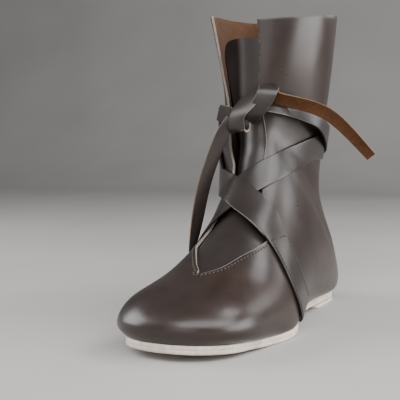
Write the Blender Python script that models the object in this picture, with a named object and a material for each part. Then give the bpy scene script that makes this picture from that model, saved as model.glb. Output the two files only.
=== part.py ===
"""A medieval left ankle boot: thin pale sole, glossy brown upper, tongue and two wrapped straps.

Sizes in the tables are millimetres; the objects are in metres. Toe toward -Y, outer side +X, up +Z.
The skin of the boot is one surface of two parameters: u counts the rows of the LAST table from the
toe to the collar, v is the share of the half girth from the front centre (0) to the sole or the back
centre line (1), positive on the outer side and negative on the inner side.
"""
import bpy
import numpy as np

MM = 0.001
HEEL_Y = 142.0          # y of station s = 0, at the back of the heel
BOX_MIDDLE = (1.37, 0.46, 0.0)  # middle of the boot's box on the last's own lines: the part's origin
WALL = 2.0              # upper leather
GAP = 0.35              # clearance between neighbouring pieces
SOLE_THICK = 6.5        # outsole leather
SOLE_MARGIN = 0.8       # sole beyond the foot of the upper
LIFT_LENGTH = 60.0      # heel lift, from the back
HEEL_ROUND = 4.0        # bow of the sole behind the heel
INSOLE_THICK = 2.0
INSOLE_INSET = 3.0
TONGUE_THICK = 1.8
TONGUE_GAP = 0.9         # under the upper
TONGUE_FULL = 0.0        # share of the inner quarter's fullness that the tongue follows
STRAP_THICK = 1.8
KNOT_AT = (-8.0, 133.0, 178.0)       # x, s, z of its middle
KNOT_HALF = (13.0, 7.5, 12.0)        # half sizes along x, s, z
KNOT_ROUND = 0.7                     # 1 is an ellipsoid, less is boxier
TAIL_FACE = np.array([0.44, -0.90, 0.0])   # way that the free strap ends face

# Row of the last: top end (s, z), low end (s, z), half widths outer and inner, share of the height at
# which it is widest, roundness above and below that, half widths at the sole, middle x above and below,
# fullness that the loose inner quarter adds to the inner half width above the heel.
LAST_COLUMNS = ("top_s", "top_z", "low_s", "low_z", "outer", "inner", "wide_at", "round_up", "round_low",
                "foot_outer", "foot_inner", "ridge", "keel", "full")
LAST = {
    "toe_edge":  (282, 13.4, 236, 9.6, 45, 48, 0.00, 2.20, 2.0, 45, 48, -2, 0, 0),
    "toe_wall":  (287, 23, 228, 8.9, 51, 52, 0.16, 2.25, 2.0, 48, 50, -3, -1, 0),
    "toe_crown": (272, 41, 215, 8.0, 55, 53, 0.30, 2.30, 2.0, 50, 50, -5, 0, 0),
    "toe_box":   (246, 50, 202, 7.1, 56, 51, 0.32, 2.25, 2.0, 51, 48, -6, 1, 0),
    "ball":      (215, 59, 185, 6.9, 55, 48, 0.30, 2.15, 2.0, 52, 44, -5, 4, 0),
    "vamp":      (188, 76, 161, 7.9, 50, 44, 0.27, 2.10, 2.0, 46, 37, -1, 9, 0),
    "instep":    (163, 95, 126, 10.2, 43, 40, 0.25, 2.10, 2.0, 31, 31, 2, 12, 1),
    "bend":      (144, 116, 86, 11.5, 40, 39, 0.22, 2.15, 2.0, 27, 29, 4, 10.5, 4),
    "heel_low":  (131, 139, 36, 10.4, 40, 39, 0.21, 2.20, 2.0, 28.5, 28.5, 5, 9, 11),
    "heel_base": (127, 151, 1, 10.4, 36.5, 35.5, 0.24, 2.20, 2.2, 21, 19, 6, 9.5, 21),
    "heel_back": (125, 162, -3, 36, 31, 30, 0.25, 2.20, 2.3, 0, 0, 6, 10, 27),
    "heel_top":  (124, 176, 7, 73, 30, 30, 0.40, 2.20, 2.3, 0, 0, 4, 5, 20),
    "ankle":     (125, 194, 12, 121, 37, 37, 0.44, 2.20, 2.2, 0, 0, 1, 1, 5),
    "shaft":     (127, 222, 6, 182, 45, 45, 0.50, 2.15, 2.1, 0, 0, 2, 2, 0),
    "collar":    (128, 259, 2, 266, 55, 55, 0.50, 2.10, 2.1, 0, 0, 0, 0, 0),
}
ROW = {name: float(i) for i, name in enumerate(LAST)}
LAST_TABLE = np.array(list(LAST.values()), float)

# Edge of the front opening: row u, girth share on the outer and on the inner side.
OPENING = {
    "throat_tip":  (3.64, 0.050, -0.050),
    "tip_round":   (3.80, 0.118, -0.035),
    "throat_low":  (4.15, 0.190, 0.050),
    "throat_mid":  (4.70, 0.248, 0.165),
    "throat_up":   (5.10, 0.287, 0.230),
    "corner":      (5.70, 0.312, 0.240),
    "strap_root":  (6.20, 0.230, 0.200),
    "instep":      (6.80, 0.130, 0.150),
    "bend":        (7.80, 0.062, 0.114),
    "heel":        (9.00, 0.050, 0.132),
    "ankle":       (10.50, 0.048, 0.156),
    "shaft":       (11.80, 0.049, 0.165),
    "flare":       (13.20, 0.052, 0.272),
    "collar":      (14.00, 0.050, 0.275),
}
# Outline of the tongue in the same way.
TONGUE = {
    "root":     (3.10, 0.140, 0.040),
    "vamp":     (3.90, 0.220, 0.090),
    "throat":   (4.90, 0.330, 0.270),
    "corner":   (5.70, 0.365, 0.310),
    "instep":   (6.90, 0.260, 0.300),
    "bend":     (8.20, 0.170, 0.340),
    "ankle":    (11.00, 0.150, 0.320),
    "shaft":    (12.60, 0.150, 0.260),
    "shoulder": (13.20, 0.120, 0.200),
    "top":      (13.50, 0.050, 0.060),
}
# Middle line of each strap: row u, girth share v (it keeps counting round the back), width, lift off
# the skin, and whether the pull of the strap may move it there. Each starts at the sole, is sewn up the
# side, crosses the instep and goes round the ankle.
STRAP_OUTER = {
    "sole":        (5.70, 0.908, 28, 0.35, 0),
    "side_low":    (5.62, 0.830, 30.5, 0.35, 0),
    "side_mid":    (5.60, 0.660, 30.5, 0.35, 0),
    "side_up":     (5.80, 0.480, 28.5, 0.35, 0),
    "root":        (6.06, 0.310, 27, 0.60, 0),
    "instep":      (6.18, 0.190, 27.5, 2.60, 1),
    "crossing":    (6.48, 0.040, 25, 2.70, 0),
    "inner_front": (7.12, -0.110, 22, 2.70, 0),
    "inner_rise":  (8.08, -0.245, 23, 2.40, 0),
    "inner_side":  (9.70, -0.365, 24, 2.50, 1),
    "inner_back":  (11.60, -0.560, 24, 2.75, 0),
    "back_inner":  (12.35, -0.800, 23, 2.70, 1),
    "back":        (12.40, -1.000, 22, 2.70, 0),
    "back_outer":  (12.42, -1.200, 22, 2.80, 1),
    "outer_back":  (12.30, -1.420, 21, 3.20, 1),
    "outer_side":  (11.95, -1.680, 19, 4.00, 1),
    "knot":        (11.45, -1.905, 18, 5.00, 0),
}
STRAP_INNER = {
    "sole":        (5.70, -0.908, 28, 0.45, 0),
    "side_low":    (5.62, -0.830, 30.5, 0.45, 0),
    "side_mid":    (5.60, -0.660, 30.5, 0.45, 0),
    "side_up":     (5.80, -0.480, 28.5, 0.45, 0),
    "root":        (6.06, -0.310, 27, 0.45, 0),
    "instep":      (6.34, -0.185, 26, 0.45, 1),
    "crossing":    (6.88, -0.030, 24, 0.45, 0),
    "outer_front": (7.62, 0.085, 21.5, 0.45, 1),
    "outer_rise":  (9.05, 0.168, 21, 0.45, 1),
    "outer_side":  (10.62, 0.300, 21.5, 0.45, 1),
    "outer_back":  (11.76, 0.520, 21.5, 0.45, 0),
    "back_outer":  (12.38, 0.800, 20, 0.45, 1),
    "back":        (12.45, 1.000, 20, 0.45, 0),
    "back_inner":  (12.45, 1.200, 21, 0.45, 1),
    "inner_back":  (12.35, 1.450, 20, 0.45, 1),
    "inner_side":  (12.05, 1.660, 19, 0.80, 1),
    "knot":        (11.60, 1.790, 18, 4.00, 0),
}
# Free strap ends: x, s, z of the middle line and width there.
TAIL_FRONT = {
    "knot": (-24.5, 139, 167, 16), "fall": (-28, 142, 149, 17), "mid": (-33, 147, 116, 17),
    "low": (-37, 150, 94, 16), "lower": (-41, 151, 75, 16), "end": (-45, 151, 57, 15),
}
TAIL_OUTER = {
    "knot": (1, 143.5, 183, 16), "rise": (9, 142, 192, 17), "fold": (20, 137, 199, 17),
    "over": (30, 128, 195, 16), "side": (43, 115, 185, 15), "out": (60, 92, 174, 14),
    "droop": (75, 80, 159, 14), "end": (92.5, 74, 137.5, 13),
}


def spline(knots, values, at):
    """Natural cubic curve through rows of values at increasing knots."""
    step = np.diff(knots)
    n = len(knots)
    a, b = np.eye(n), np.zeros((n, values.shape[1]))
    for i in range(1, n - 1):
        a[i, i - 1:i + 2] = step[i - 1], 2 * (step[i - 1] + step[i]), step[i]
        b[i] = 6 * ((values[i + 1] - values[i]) / step[i] - (values[i] - values[i - 1]) / step[i - 1])
    bend = np.linalg.solve(a, b)
    i = np.clip(np.searchsorted(knots, at, side="right") - 1, 0, n - 2)
    h, t = step[i][:, None], (at - knots[i])[:, None]
    r = h - t
    return ((bend[i] * r ** 3 + bend[i + 1] * t ** 3) / (6 * h)
            + (values[i] / h - bend[i] * h / 6) * r + (values[i + 1] / h - bend[i + 1] * h / 6) * t)


LAST_KNOTS = np.concatenate([[0.0], np.cumsum(
    0.5 * np.hypot(*np.diff(LAST_TABLE[:, 0:2], axis=0).T)
    + 0.5 * np.hypot(*np.diff(LAST_TABLE[:, 2:4], axis=0).T))])


def section(u):
    """Columns of the last at rows u, by name; the low line under the heel is straight."""
    knots = np.interp(u, np.arange(len(LAST_KNOTS)), LAST_KNOTS)
    columns = dict(zip(LAST_COLUMNS, spline(LAST_KNOTS, LAST_TABLE, knots).T))
    open_foot = np.clip(ROW["heel_back"] - u, 0, 1) > 0
    for name in ("foot_outer", "foot_inner"):
        columns[name] = np.where(open_foot, np.maximum(columns[name], 0), 0)
    columns["wide_at"] = np.maximum(columns["wide_at"], 0)
    straight = np.interp(u, np.arange(len(LAST_TABLE)), LAST_TABLE[:, LAST_COLUMNS.index("low_z")])
    seat = np.clip((u - 6.2) / 1.2, 0, 1)
    seat = seat * seat * (3 - 2 * seat) * (u <= ROW["heel_base"])
    columns["low_z"] = columns["low_z"] + seat * (straight - columns["low_z"])
    return columns


def skin(u, v, full=1.0, samples=60):
    """Points of the boot's surface at rows u and girth shares v, two arrays of one length.

    A share full of the inner quarter's fullness is added; the tongue lies flat without it.
    """
    u, v = np.asarray(u, float), np.asarray(v, float)
    turned = np.where(u >= ROW["heel_back"], (v + 1) % 2 - 1, np.clip(v, -1, 1))
    c = {name: value[:, None] for name, value in section(u).items()}
    side = np.where(turned < 0, -1.0, 1.0)[:, None]
    foot = np.where(side > 0, c["foot_outer"], c["foot_inner"])
    a = np.linspace(0, np.pi / 2, samples)[None]
    b = a[:, 1:]
    h = np.concatenate([c["wide_at"] + (1 - c["wide_at"]) * np.cos(a) ** (2 / c["round_up"]),
                        c["wide_at"] * (1 - np.sin(b) ** (2 / c["round_low"]))], axis=1)
    up = np.clip((h - 0.05) / 0.45, 0, 1)
    wide = np.where(side > 0, c["outer"], c["inner"] + full * c["full"] * up * up * (3 - 2 * up))
    x = np.concatenate([wide[:, :samples] * np.sin(a) ** (2 / c["round_up"]),
                        foot + (wide[:, samples:] - foot) * np.abs(np.cos(b)) ** (2 / c["round_low"])], axis=1)
    line = np.stack([c["keel"] + (c["ridge"] - c["keel"]) * h + side * x,
                     HEEL_Y - c["low_s"] - h * (c["top_s"] - c["low_s"]),
                     c["low_z"] + h * (c["top_z"] - c["low_z"])], axis=2)
    run = np.cumsum(np.linalg.norm(np.diff(line, axis=1), axis=2), axis=1)
    run = np.concatenate([np.zeros((len(u), 1)), run], axis=1)
    want = np.abs(turned)[:, None] * run[:, -1:]
    k = np.clip((run < want).sum(axis=1) - 1, 0, run.shape[1] - 2)
    n = np.arange(len(u))
    share = (want[:, 0] - run[n, k]) / np.maximum(run[n, k + 1] - run[n, k], 1e-9)
    return line[n, k] + share[:, None] * (line[n, k + 1] - line[n, k])


def slopes(u, v, full=1.0, du=0.02, dv=0.006):
    """Rates of change of the skin with u and with v."""
    top, last = np.clip(u + du, 0, ROW["collar"]), np.clip(u - du, 0, ROW["collar"])
    right, left = v + dv, v - dv
    foot = u < ROW["heel_back"]
    right, left = np.where(foot, np.clip(right, -1, 1), right), np.where(foot, np.clip(left, -1, 1), left)
    along = (skin(top, v, full) - skin(last, v, full)) / (top - last)[:, None]
    round_girth = (skin(u, right, full) - skin(u, left, full)) / (right - left)[:, None]
    return along, round_girth


def offset(u, v, distance, full=1.0):
    """Points at a distance outside the skin, or inside it where the distance is negative."""
    u, v = np.asarray(u, float), np.asarray(v, float)
    along, round_girth = slopes(u, v, full)
    normal = np.cross(round_girth, along)
    normal /= np.linalg.norm(normal, axis=1)[:, None]
    return skin(u, v, full) + normal * np.reshape(distance, (-1, 1))


def grid_faces(rows, columns, turned=False):
    """Quads of a grid whose points run row by row, turned over if asked."""
    i = (np.arange(rows - 1)[:, None] * columns + np.arange(columns - 1)).ravel()
    quads = np.stack([i, i + 1, i + columns + 1, i + columns], axis=1)
    return [tuple(q) for q in (quads[:, ::-1] if turned else quads).tolist()]


def material(name, colour, roughness):
    made = bpy.data.materials.new(name)
    made.use_nodes = True
    shader = made.node_tree.nodes["Principled BSDF"]
    shader.inputs["Base Color"].default_value = (*colour, 1.0)
    shader.inputs["Roughness"].default_value = roughness
    return made


def add_object(name, points, faces, finish):
    """A mesh object from points in millimetres on the last's lines, set on the part's origin."""
    mesh = bpy.data.meshes.new(name)
    mesh.from_pydata(((np.asarray(points) - BOX_MIDDLE) * MM).tolist(), [], faces)
    mesh.materials.append(finish)
    made = bpy.data.objects.new(name, mesh)
    bpy.context.scene.collection.objects.link(made)
    return made


def add_shell(name, outer, inner, faces, finish):
    """A closed wall between two layers of points that share their faces, with a rim on each edge."""
    n = len(outer)
    used = {(q[k], q[(k + 1) % len(q)]) for q in faces for k in range(len(q))}
    rim = [(b, a, a + n, b + n) for a, b in sorted(used) if (b, a) not in used]
    inside = [tuple(i + n for i in reversed(q)) for q in faces]
    return add_object(name, np.concatenate([outer, inner]), faces + inside + rim, finish)


def outline(table, u):
    """Outer and inner girth share of an outline table at rows u."""
    values = np.array(list(table.values()), float)
    return np.interp(u, values[:, 0], values[:, 1]), np.interp(u, values[:, 0], values[:, 2])


def row_stops(*stretches):
    """Rows u from (start, end, count) stretches that follow each other."""
    return np.unique(np.round(np.concatenate([np.linspace(*s) for s in stretches]), 6))


def build_upper(finish):
    """Vamp and quarters as one wall: outer half, back, inner half, joined before the throat tip."""
    tip, tip_end = OPENING["throat_tip"][0], OPENING["tip_round"][0]
    u = row_stops((0, 2, 10), (2, tip, 7), (tip, tip_end, 2), (tip_end, 6, 9), (6, 9, 10), (9, 10, 4),
                  (10, 14, 12))
    half = np.linspace(0, 1, 17)
    outer_edge, inner_edge = outline(OPENING, u)
    outer_v = outer_edge[:, None] + (1 - outer_edge[:, None]) * half
    inner_v = -1 + (1 - inner_edge[:, None]) * half
    v = np.concatenate([outer_v, inner_v], axis=1)
    rows, columns = v.shape
    flat_u = np.repeat(u, columns)
    outside = offset(flat_u, v.ravel(), 0.0)
    inside = offset(flat_u, v.ravel(), -WALL)
    index = np.arange(rows * columns).reshape(rows, columns)
    middle = len(half)
    index[u >= ROW["heel_back"], middle] = index[u >= ROW["heel_back"], middle - 1]
    index[u <= tip, -1] = index[u <= tip, 0]
    faces = []
    for i in range(rows - 1):
        for j in range(columns - 1):
            if j == middle - 1 and u[i] < ROW["heel_base"]:
                continue
            corners = [index[i, j], index[i, j + 1], index[i + 1, j + 1], index[i + 1, j]]
            corners = [int(c) for k, c in enumerate(corners) if c != corners[k - 1]]
            if len(corners) > 2:
                faces.append(tuple(corners))
    kept = np.unique(np.concatenate([np.array(f) for f in faces]))
    renumber = {int(old): new for new, old in enumerate(kept)}
    faces = [tuple(renumber[c] for c in f) for f in faces]
    return add_shell("upper", outside[kept], inside[kept], faces, finish)


def foot_stations():
    """Foot of the upper from toe tip to heel: (x, s) of the outer and inner side, and z."""
    toe_v = np.array([0.03, 0.10, 0.19, 0.30, 0.42, 0.55, 0.68, 0.82])
    side_u = row_stops((0, 4, 11), (4, 8, 11), (8, 9, 6))
    u = np.concatenate([np.zeros(len(toe_v)), side_u])
    v = np.concatenate([toe_v, np.ones(len(side_u))])
    outer, inner = skin(u, v), skin(u, -v)
    s, middle = HEEL_Y - outer[:, 1], (outer[-1, 0] + inner[-1, 0]) / 2
    turn = np.array([0.45, 0.75, 0.95])[:, None]
    sides = []
    for side in (outer, inner):
        line = np.stack([side[:, 0], s], 1)
        end = [middle, s[-1]] + [line[-1, 0] - middle, -HEEL_ROUND] * np.hstack([np.sqrt(1 - turn ** 2), turn])
        sides.append(np.concatenate([line, end]))
    return *sides, np.append(outer[:, 2], outer[-1, 2].repeat(len(turn)))


def widened(line, margin, side):
    """A plan line of (x, s) points moved sideways, outward for a positive margin."""
    step = np.gradient(line, axis=0)
    normal = np.stack([-step[:, 1], step[:, 0]], 1) * side
    normal /= np.linalg.norm(normal, axis=1)[:, None]
    return line + margin * normal


def cut_at(line, s):
    """A plan line from station s to the heel."""
    rest = line[line[:, 1] < s - 1]
    side = line[line[:, 1] < s + 40]
    start = np.interp(s, side[::-1, 1], side[::-1, 0])
    return np.concatenate([[[start, s]], rest])


def plate(outer, inner, height, across=5):
    """Points between two plan lines, row by row, at a height that depends on s."""
    share = np.linspace(0, 1, across)[None, :, None]
    plan = outer[:, None] + (inner - outer)[:, None] * share
    return np.stack([plan[..., 0], HEEL_Y - plan[..., 1], height(plan[..., 1])], axis=2).reshape(-1, 3)


def build_sole(sole_finish, lift_finish, insole_finish):
    """Outsole with toe spring and arch, heel lift under it and insole on it."""
    outer, inner, foot_z = foot_stations()

    def top(s):
        return np.interp(s, outer[::-1, 1], foot_z[::-1]) - GAP

    def low(s):
        under = top(s) - SOLE_THICK
        return np.where(s < LIFT_LENGTH + 15, under, np.maximum(under, 0))

    across = 5
    edges = widened(outer, SOLE_MARGIN, 1), widened(inner, SOLE_MARGIN, -1)
    faces = grid_faces(len(outer), across, turned=True)
    add_shell("outsole", plate(*edges, top), plate(*edges, low), faces, sole_finish)

    heel = [cut_at(edge, LIFT_LENGTH) for edge in edges]
    lift_top = plate(*heel, lambda s: low(s) - GAP)
    faces = grid_faces(len(heel[0]), across, turned=True)
    add_shell("heel_lift", lift_top, lift_top * (1, 1, 0), faces, lift_finish)

    sock = [widened(outer, -INSOLE_INSET, 1)[1:-4], widened(inner, -INSOLE_INSET, -1)[1:-4]]
    bottom = plate(*sock, lambda s: top(s) + GAP)
    faces = grid_faces(len(sock[0]), across, turned=True)
    add_shell("insole", bottom + (0, 0, INSOLE_THICK), bottom, faces, insole_finish)


def build_tongue(finish):
    """Sheet inside the front opening."""
    u = row_stops((3.1, 6, 9), (6, 9, 8), (9, 13.3, 10), (13.3, 13.55, 3))
    outer_edge, inner_edge = outline(TONGUE, u)
    share = np.linspace(0, 1, 10)[None]
    v = outer_edge[:, None] - (outer_edge + inner_edge)[:, None] * share
    flat_u = np.repeat(u, v.shape[1])
    outside = offset(flat_u, v.ravel(), -WALL - TONGUE_GAP, full=TONGUE_FULL)
    inside = offset(flat_u, v.ravel(), -WALL - TONGUE_GAP - TONGUE_THICK, full=TONGUE_FULL)
    faces = grid_faces(*v.shape, turned=True)
    return add_shell("tongue", outside, inside, faces, finish)


def along_table(table, count):
    """Evenly spaced rows of a path table, on a smooth curve through its own rows."""
    values = np.array(list(table.values()), float)
    knots = np.arange(len(values), dtype=float)
    return spline(knots, values, np.linspace(0, knots[-1], count)).T


def moved_on_skin(u, v, shift):
    """Rows and girth shares after a small move of the skin's points, kept on the skin."""
    along, round_girth = slopes(u, v)
    aa, ar, rr = (along * along).sum(1), (along * round_girth).sum(1), (round_girth * round_girth).sum(1)
    am, rm = (along * shift).sum(1), (round_girth * shift).sum(1)
    det = aa * rr - ar * ar
    return np.clip(u + (rr * am - ar * rm) / det, 0, ROW["collar"]), v + (aa * rm - ar * am) / det


def pulled_tight(u, v, free, rounds=160):
    """A path on the skin that each round draws straighter where it is free."""
    for _ in range(rounds):
        points = skin(u, v)
        shift = np.zeros_like(points)
        shift[1:-1] = 0.5 * (points[:-2] + points[2:]) - points[1:-1]
        u, v = moved_on_skin(u, v, shift * free[:, None])
    return u, v


def build_strap(name, table, finish, per_row=4, across=5):
    """Band that lies on the skin round its middle line, with each point found on the skin."""
    count = per_row * (len(table) - 1) + 1
    u, v, width, lift, _ = along_table(table, count)
    free = np.interp(np.arange(count) / per_row, np.arange(len(table)), [row[4] for row in table.values()])
    u, v = pulled_tight(u, v, free)
    middle = skin(u, v)
    forward = np.gradient(middle, axis=0)
    along, round_girth = slopes(u, v)
    sideways = np.cross(np.cross(round_girth, along), forward)
    sideways /= np.linalg.norm(sideways, axis=1)[:, None]
    share = np.linspace(-0.5, 0.5, across)
    want = (middle[:, None] + sideways[:, None] * (width[:, None] * share)[..., None]).reshape(-1, 3)
    uu, vv = np.repeat(u, across), np.repeat(v, across)
    for _ in range(6):
        uu, vv = moved_on_skin(uu, vv, want - skin(uu, vv))
    lifts = np.repeat(np.maximum(lift, GAP), across)
    inside = offset(uu, vv, lifts)
    outside = offset(uu, vv, lifts + STRAP_THICK)
    return add_shell(name, outside, inside, grid_faces(count, across, turned=True), finish)


def build_tail(name, table, finish, count=22, across=3):
    """Free flat strap end that faces one way."""
    x, s, z, width = along_table(table, count)
    middle = np.stack([x, HEEL_Y - s, z], axis=1)
    forward = np.gradient(middle, axis=0)
    sideways = np.cross(forward, TAIL_FACE)
    sideways /= np.linalg.norm(sideways, axis=1)[:, None]
    thick = np.cross(sideways, forward)
    thick *= 0.5 * STRAP_THICK / np.linalg.norm(thick, axis=1)[:, None]
    share = np.linspace(-0.5, 0.5, across)
    sheet = middle[:, None] + sideways[:, None] * (width[:, None] * share)[..., None]
    front, back = (sheet + thick[:, None]).reshape(-1, 3), (sheet - thick[:, None]).reshape(-1, 3)
    return add_shell(name, front, back, grid_faces(count, across), finish)


def build_knot(finish, around=16, rings=9):
    """Rounded block where the two straps are tied."""
    lon = np.linspace(0, 2 * np.pi, around, endpoint=False)
    lat = np.linspace(-np.pi / 2, np.pi / 2, rings)[1:-1]

    def power(value):
        return np.sign(value) * np.abs(value) ** KNOT_ROUND

    lat, lon = (a.ravel() for a in np.meshgrid(lat, lon, indexing="ij"))
    ball = np.stack([power(np.cos(lat)) * power(np.cos(lon)), power(np.cos(lat)) * power(np.sin(lon)),
                     power(np.sin(lat))], axis=1)
    ball = np.concatenate([ball, [[0, 0, -1], [0, 0, 1]]])
    centre = np.array([KNOT_AT[0], HEEL_Y - KNOT_AT[1], KNOT_AT[2]])
    faces = []
    for i in range(rings - 3):
        for j in range(around):
            k = (j + 1) % around
            faces.append((i * around + j, i * around + k, (i + 1) * around + k, (i + 1) * around + j))
    low, top, last = len(ball) - 2, len(ball) - 1, (rings - 3) * around
    for j in range(around):
        k = (j + 1) % around
        faces += [(low, k, j), (top, last + j, last + k)]
    return add_object("knot", centre + ball * KNOT_HALF, faces, finish)


def main():
    for old in list(bpy.data.objects):
        bpy.data.objects.remove(old, do_unlink=True)
    leather = material("brown_leather", (0.045, 0.034, 0.030), 0.35)
    lining = material("flesh_leather", (0.18, 0.085, 0.045), 0.8)
    pale = material("pale_sole_leather", (0.75, 0.68, 0.60), 0.6)
    lift = material("pale_heel_leather", (0.72, 0.65, 0.57), 0.6)
    strap = material("strap_leather", (0.042, 0.033, 0.030), 0.38)
    tongue = material("tongue_leather", (0.035, 0.028, 0.026), 0.4)
    build_upper(leather)
    build_sole(pale, lift, lining)
    build_tongue(tongue)
    build_strap("strap_outer", STRAP_OUTER, strap)
    build_strap("strap_inner", STRAP_INNER, strap)
    build_knot(strap)
    build_tail("tail_front", TAIL_FRONT, strap)
    build_tail("tail_outer", TAIL_OUTER, strap)


main()
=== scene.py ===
"""Looks of a medieval left ankle boot: glossy brown leather, cream sole, crossed straps tied in front.

Lengths in the tables are millimetres, as a shoemaker writes them; meshes are in metres in the frame of
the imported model: toe toward -Y, outer side +X, up +Z.
"""

import logging
import math
from dataclasses import dataclass, field
from enum import Enum

import bpy
import numpy as np
from mathutils import Matrix, Vector


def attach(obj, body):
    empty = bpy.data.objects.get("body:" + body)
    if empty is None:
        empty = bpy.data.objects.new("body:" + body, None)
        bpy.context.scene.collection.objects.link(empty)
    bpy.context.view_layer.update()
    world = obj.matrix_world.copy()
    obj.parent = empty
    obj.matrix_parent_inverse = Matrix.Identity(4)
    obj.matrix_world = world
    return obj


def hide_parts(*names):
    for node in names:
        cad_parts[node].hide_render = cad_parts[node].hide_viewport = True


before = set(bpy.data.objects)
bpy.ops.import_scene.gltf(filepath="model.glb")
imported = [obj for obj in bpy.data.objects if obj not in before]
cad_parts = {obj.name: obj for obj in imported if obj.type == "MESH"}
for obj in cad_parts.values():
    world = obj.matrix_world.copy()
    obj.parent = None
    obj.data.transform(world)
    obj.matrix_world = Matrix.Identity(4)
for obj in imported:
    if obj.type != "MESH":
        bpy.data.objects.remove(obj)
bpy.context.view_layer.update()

LOG = logging.getLogger("boot")
MM = 0.001
BODY = "root"
HEEL_Y = 142.0
BOX_MIDDLE = np.array([1.37, 0.46, 0.0])
WALL = 2.0
GAP = 0.35
STRAP_THICK = 1.8
STRAP_ROUNDING = 0.35
SHARP_EDGE = math.radians(55)

# Row of the last: top end (s, z), low end (s, z), half widths outer and inner, share of the height at
# which it is widest, roundness above and below that, half widths at the sole, middle x above and below,
# fullness that the loose inner quarter adds to the inner half width above the heel.
LAST_COLUMNS = ("top_s", "top_z", "low_s", "low_z", "outer", "inner", "wide_at", "round_up", "round_low",
                "foot_outer", "foot_inner", "ridge", "keel", "full")
LAST = {
    "toe_edge":  (282, 13.4, 236, 9.6, 45, 48, 0.00, 2.20, 2.0, 45, 48, -2, 0, 0),
    "toe_wall":  (287, 23, 228, 8.9, 51, 52, 0.16, 2.25, 2.0, 48, 50, -3, -1, 0),
    "toe_crown": (272, 41, 215, 8.0, 55, 53, 0.30, 2.30, 2.0, 50, 50, -5, 0, 0),
    "toe_box":   (246, 50, 202, 7.1, 56, 51, 0.32, 2.25, 2.0, 51, 48, -6, 1, 0),
    "ball":      (215, 59, 185, 6.9, 55, 48, 0.30, 2.15, 2.0, 52, 44, -5, 4, 0),
    "vamp":      (188, 76, 161, 7.9, 50, 44, 0.27, 2.10, 2.0, 46, 37, -1, 9, 0),
    "instep":    (163, 95, 126, 10.2, 43, 40, 0.25, 2.10, 2.0, 31, 31, 2, 12, 1),
    "bend":      (144, 116, 86, 11.5, 40, 39, 0.22, 2.15, 2.0, 27, 29, 4, 10.5, 4),
    "heel_low":  (131, 139, 36, 10.4, 40, 39, 0.21, 2.20, 2.0, 28.5, 28.5, 5, 9, 11),
    "heel_base": (127, 151, 1, 10.4, 36.5, 35.5, 0.24, 2.20, 2.2, 21, 19, 6, 9.5, 21),
    "heel_back": (125, 162, -3, 36, 31, 30, 0.25, 2.20, 2.3, 0, 0, 6, 10, 27),
    "heel_top":  (124, 176, 7, 73, 30, 30, 0.40, 2.20, 2.3, 0, 0, 4, 5, 20),
    "ankle":     (125, 194, 12, 121, 37, 37, 0.44, 2.20, 2.2, 0, 0, 1, 1, 5),
    "shaft":     (127, 222, 6, 182, 45, 45, 0.50, 2.15, 2.1, 0, 0, 2, 2, 0),
    "collar":    (128, 259, 2, 266, 55, 55, 0.50, 2.10, 2.1, 0, 0, 0, 0, 0),
}
ROW = {name: float(i) for i, name in enumerate(LAST)}

# Columns that follow a line with no overshoot near the heel: rows where that line starts, fully holds,
# starts to fade and ends, and the distance in rows between the readings of it that are averaged.
HELD_COLUMNS = {
    "low_z":      (6.2, 7.4, 10.2, 12.0, 0.22),
    "foot_outer": (8.3, 9.4, 15.0, 16.0, 0.0),
    "foot_inner": (8.3, 9.4, 15.0, 16.0, 0.0),
}
NEAR_READINGS = ((-2, 1 / 16), (-1, 4 / 16), (0, 6 / 16), (1, 4 / 16), (2, 1 / 16))

# Edge of the front opening and of the tongue: row u, girth share on the outer and on the inner side.
OPENING = {
    "throat_tip":  (3.64, 0.050, -0.050),
    "tip_round":   (3.80, 0.118, -0.035),
    "throat_low":  (4.15, 0.190, 0.050),
    "throat_mid":  (4.70, 0.248, 0.165),
    "throat_up":   (5.10, 0.287, 0.230),
    "corner":      (5.70, 0.312, 0.240),
    "strap_root":  (6.20, 0.230, 0.200),
    "instep":      (6.80, 0.130, 0.150),
    "bend":        (7.80, 0.062, 0.114),
    "heel":        (9.00, 0.050, 0.132),
    "ankle":       (10.50, 0.048, 0.156),
    "shaft":       (11.80, 0.049, 0.165),
    "flare":       (13.20, 0.052, 0.272),
    "collar":      (14.00, 0.050, 0.275),
}
TONGUE = {
    "root":     (3.10, 0.140, 0.040),
    "vamp":     (3.90, 0.220, 0.090),
    "throat":   (4.90, 0.330, 0.270),
    "corner":   (5.70, 0.365, 0.310),
    "instep":   (6.90, 0.260, 0.300),
    "bend":     (8.20, 0.170, 0.340),
    "ankle":    (11.00, 0.150, 0.360),
    "shaft":    (12.60, 0.150, 0.360),
    "shoulder": (13.20, 0.120, 0.330),
    "top":      (13.50, 0.050, 0.060),
}
# Middle line of each strap: row u, girth share v (it keeps counting round the back), width, lift off
# the skin, and whether the pull of the strap may move it there.
STRAP_OUTER = {
    "sole":        (5.70, 0.908, 28, 0.35, 0),
    "side_low":    (5.62, 0.830, 30.5, 0.35, 0),
    "side_mid":    (5.60, 0.660, 30.5, 0.35, 0),
    "side_up":     (5.80, 0.480, 28.5, 0.35, 0),
    "root":        (6.06, 0.310, 27, 0.60, 0),
    "instep":      (6.18, 0.190, 27.5, 2.60, 1),
    "crossing":    (6.48, 0.040, 25, 2.70, 0),
    "inner_front": (7.12, -0.110, 22, 2.70, 0),
    "inner_rise":  (8.08, -0.245, 23, 2.40, 0),
    "inner_side":  (9.70, -0.365, 24, 2.50, 1),
    "inner_back":  (11.60, -0.560, 24, 2.75, 0),
    "back_inner":  (12.35, -0.800, 23, 2.70, 1),
    "back":        (12.40, -1.000, 22, 2.70, 0),
    "back_outer":  (12.38, -1.200, 21, 2.80, 0),
    "outer_back":  (12.25, -1.420, 17, 3.20, 0),
    "outer_side":  (12.02, -1.680, 10.5, 3.60, 0),
    "knot":        (11.47, -1.905, 7, 3.80, 0),
    "tuck":        (11.38, -1.960, 6, 3.20, 0),
}
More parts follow.
